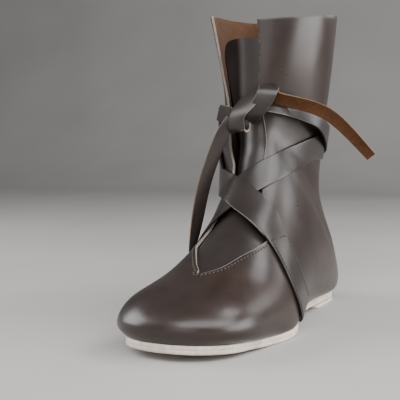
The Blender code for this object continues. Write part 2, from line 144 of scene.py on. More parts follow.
STRAP_INNER = {
    "sole":        (5.70, -0.908, 28, 0.45, 0),
    "side_low":    (5.62, -0.830, 30.5, 0.45, 0),
    "side_mid":    (5.60, -0.660, 30.5, 0.45, 0),
    "side_up":     (5.80, -0.480, 28.5, 0.45, 0),
    "root":        (6.06, -0.310, 27, 0.45, 0),
    "instep":      (6.34, -0.185, 26, 0.45, 1),
    "crossing":    (6.88, -0.030, 24, 0.45, 0),
    "outer_front": (7.62, 0.085, 21.5, 0.45, 1),
    "outer_rise":  (9.05, 0.168, 21, 0.45, 1),
    "outer_side":  (10.62, 0.300, 21.5, 0.45, 1),
    "outer_back":  (11.76, 0.520, 21.5, 0.45, 0),
    "back_outer":  (12.38, 0.800, 20, 0.45, 1),
    "back":        (12.45, 1.000, 20, 0.45, 0),
    "back_inner":  (12.45, 1.200, 21, 0.45, 1),
    "inner_back":  (12.35, 1.450, 20, 0.45, 1),
    "inner_side":  (12.05, 1.660, 19, 0.80, 1),
    "knot":        (11.60, 1.790, 18, 4.00, 0),
}


class Side(Enum):
    """Side of the left foot; the value is the sign of x and of v."""

    OUTER = 1
    INNER = -1


def natural_spline(knots: np.ndarray, values: np.ndarray, at: np.ndarray) -> np.ndarray:
    """Natural cubic curve through rows of values.

    Args:
        knots: increasing parameter of each row.
        values: one row of values per knot.
        at: parameters to read, any number.

    Returns:
        One row of values per parameter.
    """
    step = np.diff(knots)
    n = len(knots)
    a, b = np.eye(n), np.zeros((n, values.shape[1]))
    for i in range(1, n - 1):
        a[i, i - 1:i + 2] = step[i - 1], 2 * (step[i - 1] + step[i]), step[i]
        b[i] = 6 * ((values[i + 1] - values[i]) / step[i] - (values[i] - values[i - 1]) / step[i - 1])
    bend = np.linalg.solve(a, b)
    i = np.clip(np.searchsorted(knots, at, side="right") - 1, 0, n - 2)
    h, t = step[i][:, None], (at - knots[i])[:, None]
    r = h - t
    return ((bend[i] * r ** 3 + bend[i + 1] * t ** 3) / (6 * h)
            + (values[i] / h - bend[i] * h / 6) * r + (values[i + 1] / h - bend[i + 1] * h / 6) * t)


def table_of(rows: dict[str, tuple]) -> np.ndarray:
    """The rows of a named table as one array."""
    return np.array(list(rows.values()), float)


def along(values: np.ndarray, count: int) -> np.ndarray:
    """Rows read evenly along a smooth curve through a table's own rows."""
    knots = np.arange(len(values), dtype=float)
    return natural_spline(knots, values, np.linspace(0, knots[-1], count))


def rounded_line(knots: np.ndarray, values: np.ndarray, at: np.ndarray) -> np.ndarray:
    """Curve through points that never swings past them: a cubic with limited slopes.

    Args:
        knots: increasing parameter of each value.
        values: the values.
        at: parameters to read.

    Returns:
        The curve's value at each parameter.
    """
    step = np.diff(knots)
    rise = np.diff(values) / step
    both = rise[:-1] * rise[1:] > 0
    inner = np.where(both, 2 * rise[:-1] * rise[1:] / np.where(both, rise[:-1] + rise[1:], 1.0), 0.0)
    slope = np.concatenate([[rise[0]], inner, [rise[-1]]])
    i = np.clip(np.searchsorted(knots, at, side="right") - 1, 0, len(step) - 1)
    t = (at - knots[i]) / step[i]
    return ((1 + 2 * t) * (1 - t) ** 2 * values[i] + t * (1 - t) ** 2 * step[i] * slope[i]
            + t * t * (3 - 2 * t) * values[i + 1] + t * t * (t - 1) * step[i] * slope[i + 1])


def smooth(low: float, high: float, x: np.ndarray) -> np.ndarray:
    """Soft step from 0 at low to 1 at high."""
    t = np.clip((x - low) / (high - low), 0, 1)
    return t * t * (3 - 2 * t)


def unit(vectors: np.ndarray) -> np.ndarray:
    """Vectors of length one along the same ways."""
    return vectors / np.maximum(np.linalg.norm(vectors, axis=-1, keepdims=True), 1e-9)


@dataclass
class Skin:
    """The boot's outer surface as a function of two parameters.

    u counts the rows of LAST from the toe edge to the collar. v is the share of the half girth from the
    front centre line (0) to the sole or the back centre line (1), positive on the outer side. A half
    section is a rounded arch: above its widest point a power of cosine and sine, below it another that
    closes to the foot's half width; v runs along it by length. The inner half is fuller above the heel
    by a soft step of the height, of which the tongue takes no share.
    """

    samples: int = 120
    full: float = 1.0
    full_over: tuple[float, float] = (0.05, 0.5)
    small_u: float = 0.02
    small_v: float = 0.006
    table: np.ndarray = field(default_factory=lambda: table_of(LAST))

    def __post_init__(self) -> None:
        """Works out the length of the row-to-row steps, which space the rows of the spline."""
        top, low = np.diff(self.table[:, 0:2], axis=0), np.diff(self.table[:, 2:4], axis=0)
        step = 0.5 * np.hypot(*top.T) + 0.5 * np.hypot(*low.T)
        self.knots = np.concatenate([[0.0], np.cumsum(step)])

    def section(self, u: np.ndarray) -> dict[str, np.ndarray]:
        """Columns of the last by name; near the heel some of them never swing past their rows.

        Args:
            u: row numbers.

        Returns:
            One value per row number, for each column.
        """
        rows = np.arange(len(self.table))
        knots = np.interp(u, rows, self.knots)
        columns = dict(zip(LAST_COLUMNS, natural_spline(self.knots, self.table, knots).T))
        for name, (start, full, fade, end, near) in HELD_COLUMNS.items():
            line = self.table[:, LAST_COLUMNS.index(name)]
            held = sum(weight * rounded_line(rows, line, u + step * near) for step, weight in NEAR_READINGS)
            share = smooth(start, full, u) * smooth(end, fade, u)
            columns[name] = np.maximum(columns[name] + share * (held - columns[name]), 0)
        columns["wide_at"] = np.maximum(columns["wide_at"], 0)
        return columns

    def grid(self, u: np.ndarray, v: np.ndarray) -> np.ndarray:
        """Points of the surface, row by row.

        Args:
            u: one row number per row.
            v: girth shares, one row of them per u.

        Returns:
            Points in millimetres, of v's shape with three coordinates.
        """
        rows = np.arange(len(u))[:, None]
        turned = np.where((u >= ROW["heel_back"])[:, None], (v + 1) % 2 - 1, np.clip(v, -1, 1))
        c = {name: value[:, None] for name, value in self.section(u).items()}
        a = np.linspace(0, np.pi / 2, self.samples)[None]
        b = a[:, 1:]
        h = np.concatenate([c["wide_at"] + (1 - c["wide_at"]) * np.cos(a) ** (2 / c["round_up"]),
                            c["wide_at"] * (1 - np.sin(b) ** (2 / c["round_low"]))], axis=1)
        swell = self.full * c["full"] * smooth(*self.full_over, h)
        rise = np.sin(a) ** (2 / c["round_up"])
        fall = np.abs(np.cos(b)) ** (2 / c["round_low"])
        found = np.empty(v.shape + (3,))
        for side, wide, foot in ((1.0, c["outer"] + 0 * h, c["foot_outer"]),
                                 (-1.0, c["inner"] + swell, c["foot_inner"])):
            x = np.concatenate([wide[:, :self.samples] * rise,
                                foot + (wide[:, self.samples:] - foot) * fall], axis=1)
            line = np.stack([c["keel"] + (c["ridge"] - c["keel"]) * h + side * x,
                             HEEL_Y - c["low_s"] - h * (c["top_s"] - c["low_s"]),
                             c["low_z"] + h * (c["top_z"] - c["low_z"])], axis=2)
            run = np.cumsum(np.linalg.norm(np.diff(line, axis=1), axis=2), axis=1)
            run = np.concatenate([np.zeros((len(u), 1)), run], axis=1) / run[:, -1:]
            count = run.shape[1]
            keys = (run + 2 * rows).ravel()
            want = np.abs(turned) + 2 * rows
            k = np.searchsorted(keys, want.ravel(), side="right").reshape(want.shape) - 1
            k = rows * count + np.clip(k - rows * count, 0, count - 2)
            share = ((want - keys[k]) / np.maximum(keys[k + 1] - keys[k], 1e-9))[..., None]
            flat = line.reshape(-1, 3)
            points = flat[k] + share * (flat[k + 1] - flat[k])
            found = np.where(((turned >= 0) == (side > 0))[..., None], points, found)
        return found - BOX_MIDDLE

    def points(self, u: np.ndarray, v: np.ndarray) -> np.ndarray:
        """Points at pairs of parameters."""
        return self.grid(u, v[:, None])[:, 0]

    def slopes(self, u: np.ndarray, v: np.ndarray) -> tuple[np.ndarray, np.ndarray]:
        """Rates of change of the surface with u and with v.

        Args:
            u: one row number per row.
            v: girth shares, one row of them per u.

        Returns:
            The rate with u and the rate with v at each point.
        """
        up, down = (np.clip(u + step, 0, ROW["collar"]) for step in (self.small_u, -self.small_u))
        foot = (u < ROW["heel_back"])[:, None]
        right, left = (np.where(foot, np.clip(v + step, -1, 1), v + step)
                       for step in (self.small_v, -self.small_v))
        rise = (self.grid(up, v) - self.grid(down, v)) / (up - down)[:, None, None]
        turn = (self.grid(u, right) - self.grid(u, left)) / (right - left)[..., None]
        return rise, turn

    def normals(self, u: np.ndarray, v: np.ndarray) -> np.ndarray:
        """Outward unit normals on rows of v."""
        rise, turn = self.slopes(u, v)
        return unit(np.cross(turn, rise))

    def offset(self, u: np.ndarray, v: np.ndarray, distance: np.ndarray | float) -> np.ndarray:
        """Points at a distance outside the surface, on rows of v."""
        lift = np.broadcast_to(distance, v.shape)[..., None]
        return self.grid(u, v) + self.normals(u, v) * lift

    def moved(self, u: np.ndarray, v: np.ndarray, shift: np.ndarray) -> tuple[np.ndarray, np.ndarray]:
        """Pairs of parameters after a small move, kept on the surface.

        Args:
            u: row number of each point.
            v: girth share of each point.
            shift: the move of each point, in millimetres.

        Returns:
            The new row numbers and girth shares.
        """
        rise, turn = (s[:, 0] for s in self.slopes(u, v[:, None]))
        aa, ar, rr = (rise * rise).sum(1), (rise * turn).sum(1), (turn * turn).sum(1)
        am, rm = (rise * shift).sum(1), (turn * shift).sum(1)
        det = aa * rr - ar * ar
        return np.clip(u + (rr * am - ar * rm) / det, 0, ROW["collar"]), v + (aa * rm - ar * am) / det

    def tightened(self, u: np.ndarray, v: np.ndarray, free: np.ndarray, rounds: int = 160
                  ) -> tuple[np.ndarray, np.ndarray]:
        """A path on the surface that each round draws straighter where it is free.

        Args:
            u: row number of each point of the path.
            v: girth share of each point.
            free: share of the pull that each point follows.
            rounds: how often the path is drawn.

        Returns:
            The new row numbers and girth shares.
        """
        for _ in range(rounds):
            points = self.points(u, v)
            shift = np.zeros_like(points)
            shift[1:-1] = 0.5 * (points[:-2] + points[2:]) - points[1:-1]
            u, v = self.moved(u, v, shift * free[:, None])
        return u, v


SKIN = Skin()
TONGUE_SKIN = Skin(full=0.5)


class Graph:
    """One material's shader graph, with short calls to add and join nodes."""

    def __init__(self, name: str) -> None:
        """Makes the material and keeps its Principled shader.

        Args:
            name: name of the material.
        """
        self.material = bpy.data.materials.new(name)
        self.material.use_nodes = True
        self.tree = self.material.node_tree
        self.shader = self.tree.nodes["Principled BSDF"]
        self.place = self.add("ShaderNodeTexCoord").outputs["Object"]

    def add(self, kind: str, **settings: object) -> bpy.types.Node:
        """A node with its properties set.

        Args:
            kind: Blender's name of the node type.
            settings: properties of the node.

        Returns:
            The new node.
        """
        node = self.tree.nodes.new(kind)
        for name, value in settings.items():
            setattr(node, name, value)
        return node

    def join(self, out: bpy.types.NodeSocket, into: bpy.types.NodeSocket) -> None:
        """A link between two sockets."""
        self.tree.links.new(out, into)

    def constants(self, **values: object) -> None:
        """Values set on the shader's own sockets, spaces written as underscores."""
        for name, value in values.items():
            self.shader.inputs[name.replace("_", " ")].default_value = value

    def noise(self, scale: float, detail: float = 2.0, rough: float = 0.5,
              stretch: tuple[float, float, float] = (1, 1, 1)) -> bpy.types.NodeSocket:
        """Cloudy noise of object coordinates.

        Args:
            scale: clouds per metre.
            detail: how many finer layers of noise are added.
            rough: weight of the finer layers.
            stretch: scale of each axis.

        Returns:
            The noise, about 0.5 in the middle.
        """
        mapping = self.add("ShaderNodeMapping")
        mapping.inputs["Scale"].default_value = stretch
        self.join(self.place, mapping.inputs["Vector"])
        node = self.add("ShaderNodeTexNoise")
        node.inputs["Scale"].default_value = scale
        node.inputs["Detail"].default_value = detail
        node.inputs["Roughness"].default_value = rough
        self.join(mapping.outputs["Vector"], node.inputs["Vector"])
        return node.outputs["Fac"]

    def cells(self, scale: float) -> bpy.types.NodeSocket:
        """Distance from the middles of a pattern of cells of object coordinates.

        Args:
            scale: cells per metre.

        Returns:
            The distance.
        """
        node = self.add("ShaderNodeTexVoronoi", feature="F1")
        node.inputs["Scale"].default_value = scale
        self.join(self.place, node.inputs["Vector"])
        return node.outputs["Distance"]

    def attribute(self, name: str) -> bpy.types.NodeSocket:
        """A number that the mesh carries."""
        return self.add("ShaderNodeAttribute", attribute_name=name).outputs["Fac"]

    def flat(self, colour: tuple[float, float, float]) -> bpy.types.NodeSocket:
        """One colour all over.

        Args:
            colour: the colour.

        Returns:
            Its socket.
        """
        node = self.add("ShaderNodeRGB")
        node.outputs["Color"].default_value = (*colour, 1.0)
        return node.outputs["Color"]

    def ramp(self, source: bpy.types.NodeSocket, reach: tuple[float, float],
             *colours: tuple[float, float, float]) -> bpy.types.NodeSocket:
        """A colour that goes from one to another with a number.

        Args:
            source: the number.
            reach: the number at each of the two colours.
            colours: the two colours.

        Returns:
            The colour.
        """
        node = self.add("ShaderNodeValToRGB")
        for element, position, colour in zip(node.color_ramp.elements, reach, colours):
            element.position, element.color = position, (*colour, 1.0)
        self.join(source, node.inputs["Fac"])
        return node.outputs["Color"]

    def span(self, source: bpy.types.NodeSocket, low: float, high: float,
             start: float = 0.0, end: float = 1.0) -> bpy.types.NodeSocket:
        """A number's range spread over another range.

        Args:
            source: the number.
            low: result at start.
            high: result at end.
            start: where the source's range starts.
            end: where it ends.

        Returns:
            The spread number.
        """
        node = self.add("ShaderNodeMapRange")
        for name, value in (("From Min", start), ("From Max", end), ("To Min", low), ("To Max", high)):
            node.inputs[name].default_value = value
        self.join(source, node.inputs["Value"])
        return node.outputs["Result"]

    def mix(self, share: bpy.types.NodeSocket, a: bpy.types.NodeSocket, b: bpy.types.NodeSocket
            ) -> bpy.types.NodeSocket:
        """Two colours mixed by a share.

        Args:
            share: share of the second colour.
            a: the first colour.
            b: the second colour.

        Returns:
            The mixed colour.
        """
        node = self.add("ShaderNodeMix", data_type="RGBA")
        self.join(share, node.inputs[0])
        self.join(a, node.inputs[6])
        self.join(b, node.inputs[7])
        return node.outputs[2]

    def sum(self, parts: tuple[tuple[bpy.types.NodeSocket, float], ...]) -> bpy.types.NodeSocket:
        """Weighted sum of numbers.

        Args:
            parts: (number, weight) pairs.

        Returns:
            The sum.
        """
        total = None
        for socket, weight in parts:
            node = self.add("ShaderNodeMath", operation="MULTIPLY_ADD")
            self.join(socket, node.inputs[0])
            node.inputs[1].default_value = weight
            node.inputs[2].default_value = 0.0
            if total is not None:
                self.join(total, node.inputs[2])
            total = node.outputs[0]
        return total

    def bump(self, height: bpy.types.NodeSocket, strength: float, depth: float) -> None:
        """Relief on the shader's normal.

        Args:
            height: the relief.
            strength: how much of it shows, 0 to 1.
            depth: its depth in metres.
        """
        node = self.add("ShaderNodeBump")
        node.inputs["Strength"].default_value = strength
        node.inputs["Distance"].default_value = depth
        self.join(height, node.inputs["Height"])
        self.join(node.outputs["Normal"], self.shader.inputs["Normal"])

    def colour(self, socket: bpy.types.NodeSocket) -> None:
        """The shader's base colour."""
        self.join(socket, self.shader.inputs["Base Color"])

    def roughness(self, socket: bpy.types.NodeSocket) -> None:
        """The shader's roughness."""
        self.join(socket, self.shader.inputs["Roughness"])


@dataclass(frozen=True)
class GrainLeather:
    """Smooth waxed grain side: deep brown with a soft gloss and a fine grain.

    In each finish a noise is given as scale, detail, weight of the detail and stretch, a reach as the
    numbers between which a colour or a gloss changes, and a relief as its strength and its depth in metres.
    """

    name: str
    deep: tuple[float, float, float] = (0.014, 0.0088, 0.0072)
    warm: tuple[float, float, float] = (0.034, 0.0195, 0.0150)
    gloss: tuple[float, float] = (0.27, 0.36)
    clouds: tuple = (16.0, 3.0, 0.55)
    streaks: tuple = (60.0, 4.0, 0.6, (1.0, 1.0, 0.35))
    streak_share: float = 0.3
    tone_reach: tuple[float, float] = (0.30, 0.72)
    wax: tuple = (45.0, 3.0, 0.6)
    wax_reach: tuple[float, float] = (0.3, 0.7)
    specular: float = 0.5
    coat: float = 0.10
    grain: float = 1100.0
    pores: tuple = (2600.0, 2.0, 0.6)
    dents: tuple = (240.0, 2.0)
    relief: tuple[float, float] = (0.12, 0.00025)
    rim: tuple[float, float, float] | None = None
    rim_fray: tuple = (420.0,)
    rim_reach: tuple[float, float] = (0.62, 0.95)
    # Painted shade: a mesh mark by this name darkens the colour toward near black and dulls the gloss,
    # standing in for the shade under the overlapping quarter.
    painted_shade: str = ""
    painted_shade_dark: float = 0.2
    painted_shade_reach: tuple[float, float] = (0.3, 0.7)
    painted_shade_rough: float = 0.4
    painted_shade_specular: float = 0.06

    def make(self) -> bpy.types.Material:
        """Clouded browns, uneven gloss, cells and pores as relief; painted shade where the mesh carries the
        mark: near black, rougher, less specular, no coat.

        Returns:
            The new material.
        """
        g = Graph(self.name)
        clouds, streaks = g.noise(*self.clouds), g.noise(*self.streaks)
        tone = g.sum(((clouds, 1 - self.streak_share), (streaks, self.streak_share)))
        colour = g.ramp(tone, self.tone_reach, self.deep, self.warm)
        if self.rim:
            worn = g.sum(((g.attribute("rim"), 1.0), (g.noise(*self.rim_fray), 0.5)))
            colour = g.mix(g.span(worn, 0.0, 1.0, *self.rim_reach), colour, g.flat(self.rim))
        gloss = g.span(g.noise(*self.wax), *self.gloss, *self.wax_reach)
        g.constants(Specular_IOR_Level=self.specular, Coat_Weight=self.coat, Coat_Roughness=0.30)
        # Painted shade: where the mark is set the colour goes to near black and the gloss, specular and coat
        # drop, so the part reads as shaded.
        if self.painted_shade:
            shade_share = g.attribute(self.painted_shade)
            shade_black = tuple(self.painted_shade_dark * c for c in self.deep)
            colour = g.mix(shade_share, colour, g.ramp(clouds, self.painted_shade_reach, shade_black, self.deep))
            gloss = g.sum(((gloss, 1.0), (shade_share, self.painted_shade_rough)))
            g.join(g.span(shade_share, self.specular, self.painted_shade_specular), g.shader.inputs["Specular IOR Level"])
            g.join(g.span(shade_share, self.coat, 0.0), g.shader.inputs["Coat Weight"])
        g.colour(colour)
        g.roughness(gloss)
        surface = (g.cells(self.grain), 0.7), (g.noise(*self.pores), 0.5), (g.noise(*self.dents), 0.8)
        g.bump(g.sum(surface), *self.relief)
        return g.material


@dataclass(frozen=True)
class FleshLeather:
    """Rough flesh side: brown nap with short fibres."""

    name: str
    deep: tuple[float, float, float] = (0.045, 0.0180, 0.0072)
    pale: tuple[float, float, float] = (0.105, 0.0480, 0.0220)
    fibres: tuple = (900.0, 4.0, 0.7, (1.0, 1.0, 0.6))
    clouds: tuple = (70.0, 4.0, 0.65)
    cloud_share: float = 0.45
    tone_reach: tuple[float, float] = (0.34, 0.66)
    rough: tuple[float, float] = (0.82, 0.95)
    nap: tuple[float, float] = (0.6, 0.0005)

    def make(self) -> bpy.types.Material:
        """Clouds and fibres in colour and relief, no gloss.

        Returns:
            The new material.
        """
        g = Graph(self.name)
        fibres, clouds = g.noise(*self.fibres), g.noise(*self.clouds)
        tone = g.sum(((fibres, 1 - self.cloud_share), (clouds, self.cloud_share)))
        g.colour(g.ramp(tone, self.tone_reach, self.deep, self.pale))
        g.roughness(g.span(clouds, *self.rough))
        g.bump(fibres, *self.nap)
        g.constants(Specular_IOR_Level=0.2, Sheen_Weight=0.06, Sheen_Roughness=0.6)
        return g.material


@dataclass(frozen=True)
class CutEdge:
    """Raw cut edge of the leather, its fibres deep and pale."""

    name: str
    deep: tuple[float, float, float] = (0.13, 0.10, 0.080)
    pale: tuple[float, float, float] = (0.34, 0.29, 0.24)
    # Painted shade: a near-black edge colour where the mesh carries the mark, for the shadow gap along strap
    # edges.
    shade_deep: tuple[float, float, float] = (0.006, 0.0045, 0.004)
    shade_lighter: float = 1.6
    fibres: tuple = (1300.0, 3.0, 0.7)
    tone_reach: tuple[float, float] = (0.35, 0.65)
    relief: tuple[float, float] = (0.4, 0.0003)
    mark: str = ""

    def make(self) -> bpy.types.Material:
        """Fibres in colour and relief; near black where the mesh carries the mark, as painted shade of the
        gap beside the strap.

        Returns:
            The new material.
        """
        g = Graph(self.name)
        fibres = g.noise(*self.fibres)
        colour = g.ramp(fibres, self.tone_reach, self.deep, self.pale)
        if self.mark:
            lighter = tuple(self.shade_lighter * c for c in self.shade_deep)
            dark = g.ramp(fibres, self.tone_reach, self.shade_deep, lighter)
            colour = g.mix(g.attribute(self.mark), colour, dark)
        g.colour(colour)
        g.bump(fibres, *self.relief)
        g.constants(Roughness=0.75, Specular_IOR_Level=0.3)
        return g.material


@dataclass(frozen=True)
class SoleLeather:
    """Undyed cream sole leather: pressed layers on the edge."""

    name: str
    deep: tuple[float, float, float] = (0.49, 0.41, 0.33)
    pale: tuple[float, float, float] = (0.80, 0.72, 0.63)
    line: tuple[float, float, float] = (0.30, 0.24, 0.19)
    layers: float = 2.0
    clouds: tuple = (55.0, 4.0, 0.6)
    fibres: tuple = (900.0, 3.0, 0.7, (0.25, 0.25, 1.0))
    tone_reach: tuple[float, float] = (0.36, 0.62)
    dirt_reach: tuple[float, float] = (0.3, 0.7)
    seam_reach: tuple[float, float] = (0.90, 1.0)
    seam_share: float = 0.55
    relief: tuple[float, float] = (0.35, 0.0003)

    def make(self) -> bpy.types.Material:
        """Clouds and fibres; the mesh's layer share draws the seams between layers.

        Returns:
            The new material.
        """
        g = Graph(self.name)
        clouds, fibres = g.noise(*self.clouds), g.noise(*self.fibres)
        colour = g.ramp(g.sum(((clouds, 0.5), (fibres, 0.5))), self.tone_reach, self.deep, self.pale)
        wave = g.add("ShaderNodeMath", operation="PINGPONG")
        share = g.add("ShaderNodeMath", operation="MULTIPLY")
        g.join(g.attribute("layer"), share.inputs[0])
        share.inputs[1].default_value = self.layers
        g.join(share.outputs[0], wave.inputs[0])
        wave.inputs[1].default_value = 1.0
        seam = g.span(wave.outputs[0], 0.0, self.seam_share, *self.seam_reach)
        g.colour(g.mix(seam, colour, g.ramp(fibres, self.dirt_reach, self.line, self.deep)))
        g.bump(fibres, *self.relief)
        g.constants(Roughness=0.62, Specular_IOR_Level=0.35)
        return g.material


@dataclass(frozen=True)
class Thread:
    """Waxed sewing thread, or the painted shade of the holes that it leaves."""

    name: str
    deep: tuple[float, float, float] = (0.040, 0.034, 0.029)
    pale: tuple[float, float, float] = (0.160, 0.140, 0.120)
    twist: tuple = (2200.0, 2.0, 0.6)
    tone_reach: tuple[float, float] = (0.35, 0.65)
    relief: tuple[float, float] = (0.4, 0.0002)

    def make(self) -> bpy.types.Material:
        """Fine twist in colour and relief.

        Returns:
            The new material.
        """
        g = Graph(self.name)
        twist = g.noise(*self.twist)
        g.colour(g.ramp(twist, self.tone_reach, self.deep, self.pale))
        g.bump(twist, *self.relief)
        g.constants(Roughness=0.5, Specular_IOR_Level=0.4)
        return g.material


@dataclass
class Finishes:
    """Every finish of the boot, made once."""

    vamp: bpy.types.Material = field(
        default_factory=GrainLeather("vamp_leather", rim=(0.26, 0.22, 0.19)).make)
    strap: bpy.types.Material = field(default_factory=GrainLeather(
        "strap_grain", (0.013, 0.0094, 0.0083), (0.029, 0.0200, 0.0172), rim=(0.16, 0.115, 0.080)).make)
    # The tongue's inner side carries painted shade through its mark.
    tongue: bpy.types.Material = field(
        default_factory=GrainLeather("tongue_grain", warm=(0.020, 0.0135, 0.0115), gloss=(0.36, 0.46),
                                     painted_shade="painted_shade").make)
    lining: bpy.types.Material = field(default_factory=FleshLeather("lining_flesh").make)
    suede: bpy.types.Material = field(
        default_factory=FleshLeather("strap_flesh", (0.032, 0.0105, 0.0026), (0.088, 0.031, 0.0078)).make)
    edge: bpy.types.Material = field(default_factory=CutEdge("cut_edge").make)
    tail_edge: bpy.types.Material = field(
        default_factory=CutEdge("tail_cut_edge", (0.085, 0.046, 0.023), (0.20, 0.125, 0.070)).make)
    # Strap cut edges carry painted shade: near black where the mark says, for the shadow gap along them.
    strap_edge: bpy.types.Material = field(default_factory=CutEdge("strap_cut_edge", mark="edge_shade").make)
    sole: bpy.types.Material = field(default_factory=SoleLeather("cream_sole").make)
    lift: bpy.types.Material = field(default_factory=SoleLeather("cream_lift", layers=1.0).make)
    thread: bpy.types.Material = field(default_factory=Thread("waxed_thread").make)
    # Painted shade: near-black patches that stand for the shade inside the stitch holes.
    hole_shade: bpy.types.Material = field(
        default_factory=Thread("thread_hole_shade", (0.0015, 0.0012, 0.001), (0.004, 0.003, 0.0025)).make)


def add_mesh(name: str, points: np.ndarray, faces: list[tuple[int, ...]],
             finishes: tuple[bpy.types.Material, ...], node: str = "",
             marks: dict[str, np.ndarray] | None = None) -> bpy.types.Object:
    """A smooth mesh object from points in millimetres.

    Args:
        name: name of the object.
        points: one row per vertex.
        faces: vertex numbers of each face, facing outward.
        finishes: its materials.
        node: solid of the frame that it stands for, if any.
        marks: numbers that the vertices carry, by name.

    Returns:
        The new object, which rides on the boot's one body.
    """
    mesh = bpy.data.meshes.new(name)
    mesh.from_pydata((points.reshape(-1, 3) * MM).tolist(), [], faces)
    mesh.polygons.foreach_set("use_smooth", np.ones(len(mesh.polygons), bool))
    for mark, values in (marks or {}).items():
        layer = mesh.attributes.new(mark, "FLOAT", "POINT")
        layer.data.foreach_set("value", values.ravel().astype(np.float32))
    for finish in finishes:
        mesh.materials.append(finish)
    made = bpy.data.objects.new(name, mesh)
    bpy.context.scene.collection.objects.link(made)
    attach(made, BODY)
    if node:
        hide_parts(node)
    LOG.info("%s: %d points, %d faces", name, len(mesh.vertices), len(mesh.polygons))
    return made


def cells_of(index: np.ndarray) -> np.ndarray:
    """Vertex numbers of the quads between the rows and columns of a grid of vertex numbers."""
    return np.stack([index[:-1, :-1], index[:-1, 1:], index[1:, 1:], index[1:, :-1]], axis=2)


def face_list(corners: np.ndarray) -> list[tuple[int, ...]]:
    """An array of faces, with their corners along its last axis, as a list."""
    return [tuple(face) for face in corners.reshape(-1, corners.shape[-1]).tolist()]


def grid_faces(rows: int, columns: int, turned: bool = False, closed: bool = False) -> list[tuple[int, ...]]:
    """Quads of a grid whose points run row by row.

    Args:
        rows: number of rows.
        columns: points in a row.
        turned: whether the faces are turned over.
        closed: whether the last column meets the first.

    Returns:
        The faces.
    """
    index = np.arange(rows * columns).reshape(rows, columns)
    if closed:
        index = np.concatenate([index, index[:, :1]], axis=1)
    cells = cells_of(index)
    return face_list(cells[..., ::-1] if turned else cells)


def thicken(piece: bpy.types.Object, thickness: float, rounding: float = 0.45) -> bpy.types.Object:
    """Gives a grain-side sheet its thickness toward the flesh side, with rounded cut edges.

    The sheet's materials are grain, flesh and cut edge, in this order.

    Args:
        piece: the sheet.
        thickness: thickness of the leather in millimetres.
        rounding: rounding of the cut edges in millimetres.

    Returns:
        The same piece.
    """
    wall = piece.modifiers.new("wall", "SOLIDIFY")
    wall.thickness, wall.offset = thickness * MM, -1.0
    wall.use_even_offset, wall.use_quality_normals = False, True
    wall.material_offset, wall.material_offset_rim = 1, 2
    edge = piece.modifiers.new("edge", "BEVEL")
    edge.width, edge.segments = rounding * MM, 2
    edge.limit_method, edge.angle_limit = "ANGLE", SHARP_EDGE
    return piece


def edge_shares(table: dict[str, tuple], u: np.ndarray) -> tuple[np.ndarray, np.ndarray]:
    """Edges of an outline table, on rounded lines through its rows.

    Args:
        table: row number, outer and inner girth share of each point of the outline.
        u: row numbers to read.

    Returns:
        The girth shares of the outer and of the inner edge.
    """
    values = table_of(table)
    held = np.clip(u, values[0, 0], values[-1, 0])
    return tuple(rounded_line(values[:, 0], values[:, k], held) for k in (1, 2))


def opening_edges(u: np.ndarray) -> tuple[np.ndarray, np.ndarray]:
    """Edges of the front opening, its tip rounded as the square root of the way in.

    Args:
        u: row numbers to read.

    Returns:
        The girth shares of the outer and of the inner edge.
    """
    (start, *first), (end, *last) = OPENING["throat_tip"], OPENING["tip_round"]
    tip = np.sqrt(np.clip((u - start) / (end - start), 0, 1))
    found = [np.where(u < end, first[k] + (last[k] - first[k]) * tip, edge)
             for k, edge in enumerate(edge_shares(OPENING, u))]
    return found[0], found[1]


